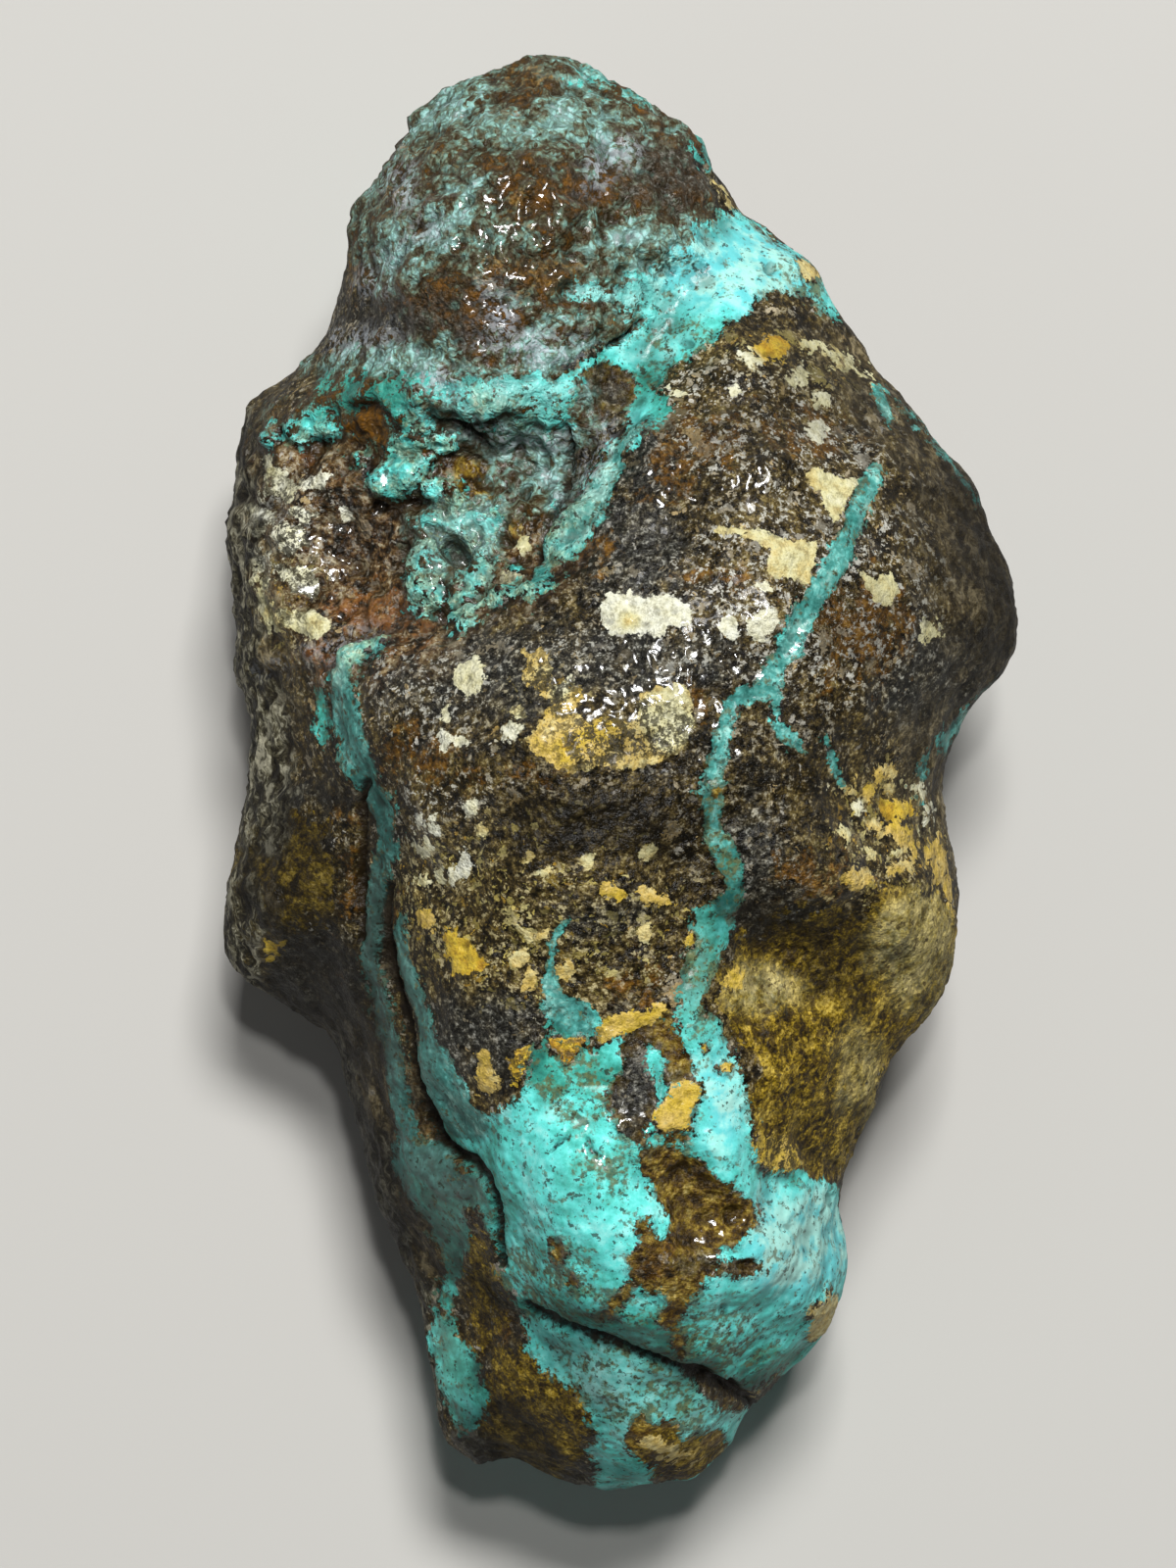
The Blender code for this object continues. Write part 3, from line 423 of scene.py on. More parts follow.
# Regions of the finish, as soft patches
regions = {
    "stain": {"cap middle": (600, 1330, 56, 20, 20), "cap top": (590, 1110, 50, 34),
        "foot": (650, 1420, 100, 46, 16), "cap toe": (730, 1370, 60, 40), "right vein": (735, 860, 30, 60),
        "shoulder": (690, 350, 40, 30), "shoulder end": (826, 292, 34, 24, 30), "neck": (720, 985, 26, 56),
        "cap seam": (620, 1190, 30, 40), "low seam": (560, 1310, 60, 40, 20)},
    # shade: painted shade under bulges, in hollows, under the cap and on faces turned from the key light
    "shade": {"below the bump": (325, 1000, 60, 60), "above the bump": (310, 812, 50, 16),
        "left of the strands": (366, 1060, 34, 70, -10), "limonite hollow": (805, 945, 80, 34, 12),
        "limonite dip": (852, 1000, 40, 22, 30), "foot": (516, 1470, 56, 46),
        "lower left": (372, 1200, 50, 130, -22), "bump": (300, 900, 60, 70), "fissure": (384, 930, 14, 80),
        "right rim": (1016, 580, 40, 150, -12), "block": (612, 840, 108, 38),
        "foot rim": (640, 1530, 110, 20), "under the cap": (650, 1372, 120, 10, 20)},
    "crust": {"head": (530, 200, 190, 175), "under the head": (440, 372, 130, 40),
        "speckled shoulder": (640, 240, 90, 50), "ceiling": (470, 425, 190, 44),
        "right of the vug": (545, 490, 46, 60), "vug heap": (470, 550, 60, 50)},
    # dim: partly painted shade on rims and flanks turned from the key light (right rim, lower left, below
    # the bump, foot), partly darker rock
    "dim": {"right rim": (985, 550, 76, 190, -12), "right block": (880, 640, 60, 50),
        "top right": (850, 400, 90, 40, 40), "upper rock": (782, 436, 90, 40), "waist": (950, 760, 30, 60),
        "lower left": (392, 1170, 50, 140, -22), "slab": (636, 754, 26, 16),
        "left flank top": (262, 470, 26, 70), "grey face": (450, 1250, 50, 90),
        "below the bump": (325, 1010, 60, 60), "foot": (545, 1440, 90, 90),
        "left strip": (496, 1330, 20, 70, -10)},
    # pale lilac-grey specks that paint the sheen of the light on the wet crust, a painted reflection
    "frost": {"post": (506, 320, 18, 24), "left": (425, 240, 26, 10, -42), "left high": (408, 190, 10, 26),
        "low": (536, 355, 36, 12), "ridge": (612, 172, 22, 7, -38), "rim": (372, 290, 16, 12, -40),
        "ledge": (604, 470, 12, 26, 20), "knob": (448, 386, 22, 14), "left low": (372, 345, 30, 10),
        "outlet": (340, 662, 24, 7, -16), "hollow": (540, 444, 38, 9, 8)},
    "tan": {"bulge": (934, 966, 46, 60), "rim": (950, 900, 30, 50), "bank": (770, 1010, 40, 26),
        "low": (880, 1100, 20, 40)},
    "green": {"tip": (585, 85, 40, 20), "upper left": (470, 115, 40, 30), "upper": (560, 125, 60, 26),
        "right": (604, 136, 18, 12), "stripe": (470, 186, 44, 18), "left": (395, 270, 26, 16),
        "left rim": (386, 200, 22, 50), "knot": (640, 165, 22, 14), "speckles": (650, 240, 60, 26),
        "near the shoulder": (705, 255, 50, 26), "ceiling": (520, 412, 70, 30), "heap": (470, 545, 44, 34),
        "low": (420, 372, 100, 20), "low right": (600, 350, 40, 14), "cheek": (450, 230, 26, 26),
        "hollow": (558, 480, 26, 40), "hollow top": (536, 440, 60, 18),
        "above the ceiling": (500, 350, 60, 20)},
    "bare": {"middle": (560, 205, 66, 40), "brow": (680, 175, 66, 40), "right": (620, 205, 66, 26),
        "low": (545, 285, 66, 34), "stripe": (622, 330, 76, 12, -4), "band": (410, 318, 66, 26),
        "post": (480, 350, 26, 40), "throat": (380, 436, 34, 34), "left": (300, 470, 60, 16),
        "vug right": (540, 560, 30, 40), "vug low": (510, 600, 40, 12), "tip": (545, 80, 26, 10)},
    "vug": {"main": (450, 520, 150, 130), "left": (320, 540, 90, 120), "low": (380, 650, 90, 50, -10)},
    # film: streaky grey on the flanks, partly painted sheen of grazing light
    "film": {"left flank": (244, 600, 22, 230), "bump edge": (236, 960, 36, 120),
        "lower left": (372, 1190, 26, 150, -20), "left rim": (250, 780, 50, 110),
        "foot corner": (470, 1490, 40, 30), "low rim": (430, 1400, 26, 100, -8),
        "foot rim": (600, 1530, 160, 20)},
    "wet": {"band": (620, 680, 200, 54, 6), "left": (430, 690, 90, 60), "right": (770, 740, 70, 60),
        "vug": (370, 560, 110, 90), "head": (470, 260, 100, 90), "lower right": (850, 870, 70, 50),
        "outlet": (400, 640, 80, 40), "head right": (570, 190, 50, 40), "vein": (868, 545, 30, 40),
        "cap": (650, 1236, 200, 100), "left block": (450, 850, 60, 40), "left rock": (480, 735, 70, 46),
        "upper": (720, 480, 70, 60), "vein low": (760, 690, 50, 80, 30)},
    "coarse": {"top": (790, 430, 130, 80, 20), "right": (830, 600, 140, 110), "block": (450, 870, 60, 90),
        "low": (560, 960, 150, 70), "cluster": (920, 850, 50, 80), "band": (700, 640, 90, 50),
        "left crust": (285, 580, 44, 100), "block top": (440, 705, 90, 44), "wet band": (600, 670, 90, 26)},
    "golden": {"block": (550, 930, 170, 110), "cluster": (900, 850, 80, 90),
        "top right": (800, 360, 100, 30, 20), "slab": (560, 730, 60, 60), "left crust": (280, 620, 50, 60)},
    "spotted": {"slab": (630, 750, 90, 40), "vug": (486, 492, 20, 26), "arm": (556, 705, 40, 36),
        "triangle": (578, 1070, 22, 18), "notch": (792, 1174, 34, 26), "tongue": (530, 1090, 14, 26),
        "crust": (300, 560, 40, 90)},
    "streaks": {"right rim": (1000, 600, 50, 150, -14), "upper right": (900, 400, 40, 90, -38),
        "waist": (960, 800, 40, 90), "left rim": (250, 760, 46, 420),
        "lower left": (380, 1160, 60, 150, -20)},
    "sky": {"shoulder": (760, 275, 100, 46, 10), "cap right": (820, 1270, 60, 60),
        "cap neck": (738, 1130, 28, 50)},
    # deep: deeper teal; under the cap, the crease and the grey face it is painted shade
    "deep": {"left vein": (384, 830, 24, 60), "beside the left vein": (329, 732, 16, 34),
        "strands": (396, 1010, 40, 150, -8), "ceiling": (390, 398, 70, 24), "vein low": (742, 880, 24, 50),
        "grey face": (450, 1230, 50, 90), "crease": (505, 1260, 18, 80),
        "under the cap": (650, 1364, 120, 20, 20), "cap toe": (776, 1396, 46, 30),
        "strip": (466, 1400, 30, 80), "green": (668, 396, 24, 30), "neck": (722, 985, 24, 60),
        "cap top": (575, 1080, 50, 40)},
    # pale: paler turquoise; the ceiling, hollow, hollow low and left vein top are painted light that lifts
    # faces turned from the key light
    "pale": {"foot": (640, 1415, 70, 24, 16), "shoulder": (640, 295, 70, 20),
        "shoulder bright": (736, 290, 60, 26), "heap": (475, 545, 40, 40), "ledge": (600, 500, 20, 60, 20),
        "upper cap": (740, 1120, 26, 50), "cap right": (815, 1262, 46, 50),
        "left vein top": (360, 690, 22, 18), "vug": (440, 600, 30, 40), "blobs": (455, 500, 24, 20),
        "ledge foot": (480, 625, 40, 12), "hollow": (545, 448, 60, 26), "hollow low": (558, 490, 26, 34),
        "ceiling": (520, 404, 60, 16), "under the head": (460, 365, 120, 20)},
    "dusty": {"strands": (388, 1000, 26, 150, -6), "strand right": (424, 1010, 14, 90, -12),
        "grey face": (440, 1220, 46, 70), "strip": (456, 1390, 20, 60, -6), "neck": (710, 985, 30, 66, -8),
        "green shoulder": (690, 345, 30, 20), "ceiling": (532, 405, 78, 24),
        "foot": (650, 1420, 90, 50, 14), "vug heap": (470, 560, 40, 60), "shoulder": (640, 300, 60, 20)},
}

stone = {
    "weld": 1e-6,                     # metres within which the frame's corners are joined
    "cuts": 4,                        # each triangle of the frame becomes 25
    "smoothRounds": 12, "smoothShare": 0.5,
    "blend": (0.02, 0.42), "blendRounds": 12,         # downward slope where the back's markings take over
    "none": -3.0,                     # mm that stands for no mark
    "fade": 1.6,                      # mm that fragments shrink on steep sides
    "fadeSlope": (0.04, 0.28),
    "toneRounds": 2,
    "regionBend": (0.8, 1.7),         # mm that a region's rim wanders, and mm between its bends
    "regionShift": (101.0, 7.0),      # shift of the first region's noise, and the step to the next
    "regionRim": (-0.7, 0.9),
    "broad": (3.1, 131.0),            # mm between broad light and dark areas, and their shift
    "upward": (0.35, 0.85),
    "calm": 0.75,                     # how far open turquoise is smoother than rock
    "cavityRounds": 6, "hollowRounds": 40,            # how wide the painted shade of a hollow spreads
}

# Relief: height in mm, wavelength in mm and the shift of the noise
relief = {
    "swell": (0.16, 1.9, 0.0), "rough": (0.10, 0.85, 5.0), "grainy": (0.08, 0.5, 9.0),
    "crust ridges": (0.20, 1.3, 3.0), "crust beads": (0.26, 0.6, 31.0), "head lumps": (0.3, 2.3, 19.0),
    "film ridges": (0.14, 1.1, 61.0), "film wrinkles": (0.08, 0.6, 67.0),
    "vug heaps": (0.56, 1.5, 7.0), "vug beads": (0.26, 0.7, 13.0), "vug crystals": (0.34, 0.9, 3.0),
    "vein beads": (0.18, 0.7, 17.0), "wet ridges": (0.09, 0.62, 71.0),
    "bed swell": (0.26, 2.6, 41.0), "bed ripple": (0.07, 1.1, 43.0),
    "back ridges": (0.22, 2.2, 53.0), "back wrinkles": (0.12, 1.1, 59.0),
}
# What stands up or is sunk, in mm
levels = {
    "all": -0.12, "crust": -0.14, "head": -0.186, "vug": -0.4, "vugTurquoise": 0.16, "vein": -0.02,
    "clast": 0.05, "crack": -0.6, "window": -0.14,
    "veinInVug": 0.5,                 # how far a vein sinks back in the vug
}
# Over how many mm an edge rises
rims = {
    "vein": (-0.16, 0.22), "turquoise": (-0.1, 0.25), "pit": (-0.12, 0.22), "clast": (-0.05, 0.15),
    "crack": (-0.16, 0.16), "window": (-0.1, 0.2),
}


def smooth(value, low=0.0, high=1.0):
    value = np.clip((value - low) / (high - low), 0.0, 1.0)
    return value * value * (3.0 - 2.0 * value)


def inMillimetres(reach):
    return reach * sheet["unit"] * mm


def inOutline(points, outline):                       # mm, positive inside
    corners = np.array(outline, float)
    near = np.full(len(points), np.inf)
    inside = np.zeros(len(points), bool)
    for start, end in zip(corners, np.roll(corners, -1, axis=0)):
        run = end - start
        offset = points - start
        along = np.clip(offset @ run / (run @ run), 0.0, 1.0)
        near = np.minimum(near, np.hypot(*(offset - along[:, None] * run).T))
        if start[1] != end[1]:
            crossing = start[0] + (points[:, 1] - start[1]) / run[1] * run[0]
            inside ^= ((start[1] > points[:, 1]) != (end[1] > points[:, 1])) & (points[:, 0] < crossing)
    return inMillimetres(np.where(inside, near, -near))


def inBand(points, path):                             # mm, positive inside a band of changing width
    path = np.array(path, float)
    best = np.full(len(points), -np.inf)
    for start, end in zip(path, path[1:]):
        run = end[:2] - start[:2]
        offset = points - start[:2]
        along = np.clip(offset @ run / (run @ run), 0.0, 1.0)
        away = np.hypot(*(offset - along[:, None] * run).T)
        best = np.maximum(best, start[2] + (end[2] - start[2]) * along - away)
    return inMillimetres(best)


def inSpot(points, spot):                             # mm, positive inside a turned ellipse
    x, y, halfLength, halfWidth = spot[:4]
    angle = math.radians(spot[4]) if len(spot) > 4 else 0.0
    offset = points - (x, y)
    along = offset @ (math.cos(angle), math.sin(angle)) / halfLength
    across = offset @ (-math.sin(angle), math.cos(angle)) / halfWidth
    return inMillimetres((1.0 - np.hypot(along, across)) * min(halfLength, halfWidth))


def union(points, shapes, measure):
    best = np.full(len(points), sheet["far"])
    for shape in shapes.values():
        best = np.maximum(best, measure(points, shape))
    return best


def lumps(places, wavelength, shift=0.0):             # noise from -1 to 1 at a wavelength in mm
    spots = places / wavelength + shift
    return np.array([noise.noise(spot) for spot in spots.tolist()])


def ridges(places, wavelength, shift=0.0):
    return 1.0 - 2.0 * np.abs(lumps(places, wavelength, shift))


def beads(places, wavelength, shift=0.0):             # round heaps, 1 on top and 0 between them
    spots = places / wavelength + shift
    near = np.array([noise.voronoi(spot)[0][0] for spot in spots.tolist()])
    return 1.0 - np.clip(near, 0.0, 1.0) ** 2


def looseCopy():
    bm = bmesh.new()
    bm.from_mesh(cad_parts["nugget"].data)
    bmesh.ops.remove_doubles(bm, verts=bm.verts, dist=stone["weld"])
    bmesh.ops.subdivide_edges(bm, edges=bm.edges, cuts=stone["cuts"], use_grid_fill=True)
    for _ in range(stone["smoothRounds"]):
        bmesh.ops.smooth_vert(bm, verts=bm.verts, factor=stone["smoothShare"],
                              use_axis_x=True, use_axis_y=True, use_axis_z=True)
    bm.normal_update()
    return bm


def blur(values, net, rounds):                        # average with the neighbours
    pairs, counts = net
    for _ in range(rounds):
        total = values.copy()
        np.add.at(total, pairs[:, 0], values[pairs[:, 1]])
        np.add.at(total, pairs[:, 1], values[pairs[:, 0]])
        values = total / (counts + 1.0 if values.ndim == 1 else (counts + 1.0)[:, None])
    return values


def onSheet(co):                                      # each point's place on the sheet, and in plan
    unit = inMillimetres(1.0)
    plan = np.array(sheet["middle"]) + co[:, :2] * (1.0, -1.0) / unit
    rise = sheet["eyeRise"] * mm
    zoom = rise / (rise - (co[:, 2] - sheet["girdle"] * mm))
    seen = np.array(sheet["eye"]) + (plan - sheet["eye"]) * zoom[:, None]
    wander = sum(share * np.stack([lumps(co, wavelength, shift) for shift in shifts], axis=1)
                 for wavelength, share, shifts in sheet["wander"])
    return seen + wander * sheet["wobble"] / unit, plan + wander * sheet["backWobble"] / unit


def layMarks(co, normals, net):                       # each marking as a number at each point
    seen, plan = onSheet(co)
    back = blur(smooth(-normals[:, 2], *stone["blend"]), net, stone["blendRounds"])
    away = np.full(len(co), stone["none"])

    def both(front, rear):
        return front * (1.0 - back) + rear * back

    clast = away.copy()
    tone = np.zeros(len(co))
    for paleness, outline in clasts.values():
        inside = inOutline(seen, outline)
        tone = np.where((inside > clast) | (inside > 0.0), paleness, tone)
        clast = np.maximum(clast, inside)
    clast -= stone["fade"] * (1.0 - smooth(normals[:, 2], *stone["fadeSlope"]))

    marks = {
        "vein": both(union(seen, veins, inBand), union(plan, backVeins, inBand)),
        "window": both(union(seen, windows, inOutline), away),
        "crack": both(union(seen, cracks, inBand), away),
        "clast": both(clast, away),
        "clastTone": blur(tone, net, stone["toneRounds"]),
        "rust": both(union(seen, rustSpots, inSpot), union(plan, backRust, inSpot)),
        "dark": both(union(seen, darkSpots, inSpot), union(plan, backDark, inSpot)),
        "limonite": both(union(seen, limoniteSpots, inSpot), union(plan, backLimonite, inSpot)),
        "broad": 0.5 + 0.5 * lumps(co, *stone["broad"]),
        "upward": smooth(normals[:, 2], *stone["upward"]),
    }
    bed = both(union(seen, beds, inOutline), union(plan, backBeds, inOutline))
    bed = np.maximum(marks["vein"], bed)
    marks["turquoise"] = np.minimum(bed, -np.maximum(marks["window"], marks["clast"]))
    bend, wavelength = stone["regionBend"]
    first, step = stone["regionShift"]
    for index, (name, spots) in enumerate(regions.items()):
        spread = both(union(seen, spots, inSpot), away) + bend * lumps(co, wavelength, first + step * index)
        marks[name] = smooth(spread, *stone["regionRim"])
    marks["wet"] *= marks["upward"]
    return marks, seen, back


def raiseRelief(co, marks, seen, back):               # mm outwards at each point
    def rise(shape, name):
        height, wavelength, shift = relief[name]
        return height * shape(co, wavelength, shift)

    def edge(name):
        return smooth(marks[name], *rims[name])

    vug, crust, vein, turquoise = marks["vug"], marks["crust"], edge("vein"), edge("turquoise")
    front = 1.0 - back
    marks["calm"] = stone["calm"] * turquoise * (1.0 - vug) * (1.0 - crust)
    rough = 1.0 - marks["calm"]
    raised = levels["all"] + rise(lumps, "swell")
    raised += rough * (rise(lumps, "rough") + rise(ridges, "grainy"))
    raised += crust * (rise(ridges, "crust ridges") + rise(beads, "crust beads") + levels["crust"])
    raised += crust * (1.0 - vug) * (rise(beads, "head lumps") + levels["head"])
    raised += marks["film"] * (rise(ridges, "film ridges") + rise(ridges, "film wrinkles"))
    raised += vug * (rise(beads, "vug heaps") + rise(beads, "vug beads") + levels["vug"])
    raised += vug * turquoise * (levels["vugTurquoise"] + rise(beads, "vug crystals"))
    raised += vein * (rise(beads, "vein beads") + levels["vein"]) * (1.0 - levels["veinInVug"] * vug)
    raised += marks["wet"] * rough * rise(ridges, "wet ridges")
    raised += turquoise * (rise(lumps, "bed swell") + rise(lumps, "bed ripple"))
    raised += back * (rise(ridges, "back ridges") + rise(ridges, "back wrinkles"))
    raised += levels["clast"] * edge("clast") + levels["window"] * edge("window")
    raised += levels["crack"] * edge("crack") * front
    for spot in pits.values():
        raised -= spot[5] * smooth(inSpot(seen, spot), *rims["pit"]) * front
    return raised


def makeStone():
    bm = looseCopy()
    co = np.array([vert.co for vert in bm.verts]) * mm
    normals = np.array([vert.normal for vert in bm.verts])
    bm.verts.index_update()
    pairs = np.array([(edge.verts[0].index, edge.verts[1].index) for edge in bm.edges])
    net = (pairs, np.bincount(pairs.ravel(), minlength=len(co)).astype(float))
    print("stone:", len(bm.faces), "triangles")

    marks, seen, back = layMarks(co, normals, net)
    moved = co + normals * raiseRelief(co, marks, seen, back)[:, None]
    low, high = (np.array(corner) * mm for corner in cadBox)
    moved = np.clip(moved, low, high)
    # how far each point lies below its neighbours, used for the painted shade of hollows
    for name, rounds in (("cavity", stone["cavityRounds"]), ("hollow", stone["hollowRounds"])):
        marks[name] = np.einsum("ij,ij->i", moved - blur(moved, net, rounds), normals)

    for vert, place in zip(bm.verts, moved / mm):
        vert.co = place
    mesh = bpy.data.meshes.new("stone")
    bm.to_mesh(mesh)
    bm.free()
    for name, values in marks.items():
        mesh.attributes.new(name, "FLOAT", "POINT").data.foreach_set("value", values.astype(np.float32))
    mesh.shade_smooth()
    nugget = bpy.data.objects.new("stone", mesh)
    bpy.context.scene.collection.objects.link(nugget)
    print("stone: relief and", len(marks), "markings done")
    return nugget


def operator(operation, swapped=False):
    def apply(self, other):
        first, second = (other, self) if swapped else (self, other)
        return self.bench.node("ShaderNodeMath", {"operation": operation}, {0: first, 1: second})
    return apply


class Wire:                                           # a socket that takes part in sums
    def __init__(self, bench, socket):
        self.bench = bench
        self.socket = socket

    __add__ = operator("ADD")
    __radd__ = operator("ADD", True)
    __sub__ = operator("SUBTRACT")
    __rsub__ = operator("SUBTRACT", True)
    __mul__ = operator("MULTIPLY")
    __rmul__ = operator("MULTIPLY", True)
    most = operator("MAXIMUM")
    least = operator("MINIMUM")


class Bench:                                          # the node tree of one material
    def __init__(self, name):
        self.material = bpy.data.materials.new(name)
        self.material.use_nodes = True
        self.tree = self.material.node_tree
        self.tree.nodes.clear()

    def sockets(self, wire):
        return [Wire(self, socket) for socket in wire.socket.node.outputs]

    def node(self, kind, settings=None, inputs=None, output=0):
        made = self.tree.nodes.new(kind)
        for key, value in (settings or {}).items():
            if key == "stops":
                ramp = made.color_ramp
                while len(ramp.elements) < len(value):
                    ramp.elements.new(0.5)
                for element, (place, colour) in zip(ramp.elements, value):
                    element.position = place
                    element.color = colour
            else:
                setattr(made, key, value)
        for key, value in (inputs or {}).items():
            if isinstance(value, Wire):
                self.tree.links.new(value.socket, made.inputs[key])
            else:
                made.inputs[key].default_value = value
        return Wire(self, made.outputs[output]) if made.outputs else None

    def step(self, value, low, high):
        return self.node("ShaderNodeMapRange", {"interpolation_type": "SMOOTHSTEP"},
                         {0: value, 1: low, 2: high})

    def ramp(self, value, tone):
        stops = [(place, paint(*shade)) for place, *shade in tones[tone]]
        return self.node("ShaderNodeValToRGB", {"stops": stops}, {0: value})

    def mark(self, name):
        return self.node("ShaderNodeAttribute", {"attribute_name": name}, output="Fac")

    def blend(self, share, first, second):
        return self.node("ShaderNodeMix", {"data_type": "RGBA", "clamp_factor": True},
                         {0: share, 6: first, 7: second}, output=2)

    def warp(self, push, reach, place):
        return self.node("ShaderNodeVectorMath", {"operation": "MULTIPLY_ADD"},
                         {0: push, 1: (reach, reach, reach), 2: place})

    def clouds(self, place, name, output=0):
        scale, detail, rough = softNoises[name]
        return self.node("ShaderNodeTexNoise", None,
                         {"Vector": place, "Scale": scale, "Detail": detail, "Roughness": rough}, output)

    def cells(self, place, scale):
        return self.node("ShaderNodeTexVoronoi", None, {"Vector": place, "Scale": scale}, "Color")

    def parts(self, colour):
        return self.sockets(self.node("ShaderNodeSeparateColor", None, {0: colour}))[:3]


def paint(red, green, blue):                          # from 0-255 display values
    linear = []
    for value in (red, green, blue):
        share = value / 255.0
        linear.append(share / 12.92 if share <= 0.04045 else ((share + 0.055) / 1.055) ** 2.4)
    return (*linear, 1.0)


# Colours as 0-255 display values
paints = {name: paint(*shade) for name, shade in {
    # the near-black of painted shade in creases, hollows and faces turned from the key light; where dim
    # covers it, it also darkens rock
    "shadeBlack": (16, 13, 8), "bark": (46, 34, 16), "umber": (50, 42, 22), "pupil": (40, 36, 22),
    "clay": (96, 84, 54), "dust": (108, 114, 106), "olive": (84, 132, 100), "paleGrit": (178, 178, 168),
    "goldGrit": (172, 156, 96), "redRust": (136, 84, 44), "frost": (172, 178, 184),
    "deepTeal": (30, 88, 78), "sky": (98, 183, 189), "paleSky": (160, 204, 192),
}.items()}

# Ramps of the finish: the place of each stop, then its colour
tones = {
    "turquoise": ((0.22, 30, 92, 82), (0.38, 54, 142, 126), (0.50, 80, 188, 176), (0.60, 98, 210, 202),
        (0.76, 150, 230, 222)),
    "vein": ((0.30, 34, 92, 86), (0.44, 64, 132, 124), (0.56, 84, 158, 150), (0.66, 112, 180, 170),
        (0.80, 160, 208, 196)),
    "chalk": ((0.34, 80, 104, 82), (0.48, 132, 168, 140), (0.60, 172, 204, 174), (0.72, 214, 216, 180)),
    "stain": ((0.40, 48, 38, 18), (0.60, 106, 96, 50)),
    "crust": ((0.26, 104, 68, 14), (0.36, 78, 54, 18), (0.43, 42, 34, 18), (0.49, 78, 74, 54),
        (0.55, 102, 114, 94), (0.63, 120, 160, 146), (0.75, 150, 200, 194), (0.88, 190, 208, 208)),
    "vug": ((0.34, 12, 8, 4), (0.45, 46, 30, 12), (0.54, 82, 57, 28), (0.63, 124, 102, 68),
        (0.75, 186, 176, 146)),
    "rock": ((0.28, 8, 6, 2), (0.40, 30, 24, 10), (0.50, 56, 46, 22), (0.60, 90, 76, 40),
        (0.72, 138, 124, 80), (0.86, 190, 176, 130)),
    "charcoal": ((0.34, 10, 10, 8), (0.48, 44, 43, 38), (0.58, 86, 87, 80), (0.70, 162, 163, 156)),
    "rust": ((0.34, 32, 20, 5), (0.45, 72, 48, 11), (0.55, 106, 72, 18), (0.68, 146, 110, 46)),
    "limonite": ((0.26, 20, 14, 1), (0.40, 72, 56, 6), (0.50, 110, 91, 13), (0.60, 148, 122, 30),
        (0.74, 188, 162, 68)),
    "bulge": ((0.30, 88, 80, 38), (0.46, 158, 152, 102), (0.60, 198, 190, 142)),
    "window": ((0.28, 24, 15, 4), (0.42, 70, 50, 12), (0.52, 114, 90, 28), (0.62, 158, 134, 54),
        (0.74, 204, 184, 114)),
    "film": ((0.34, 6, 5, 3), (0.45, 34, 31, 21), (0.54, 80, 77, 60), (0.66, 146, 143, 124)),
    "streaks": ((0.34, 18, 14, 8), (0.46, 52, 44, 26), (0.55, 88, 77, 52), (0.68, 158, 144, 110)),
    "grain": ((0.00, 206, 202, 190), (0.25, 120, 114, 98), (0.50, 168, 156, 130), (0.75, 90, 82, 62),
        (1.00, 188, 164, 116)),
    "golden grain": ((0.00, 198, 186, 124), (0.25, 118, 106, 54), (0.50, 188, 170, 92),
        (0.75, 84, 78, 40), (1.00, 188, 148, 48)),
    "fragment": ((0.00, 218, 219, 204), (0.40, 198, 192, 144), (0.64, 194, 166, 88), (0.80, 192, 164, 54),
        (1.00, 182, 136, 36)),
}

# Soft noises of the finish: waves per mm, detail and roughness
softNoises = {
    "mottle": (0.95, 4.0, 0.62), "fine": (3.3, 4.0, 0.66), "grit": (10.0, 2.0, 0.6),
    "swirl": (1.5, 1.0, 0.5), "chip": (1.9, 3.0, 0.6), "streaks": (2.2, 4.0, 0.68),
    "arcs": (2.1, 2.0, 0.6), "swell": (2.0, 0.0, 0.6), "tooth": (4.6, 3.0, 0.6),
}


def layer(start=0.0, edge=None, share=1.0, **by):
    return {"start": start, "edge": edge, "share": share, "by": by}


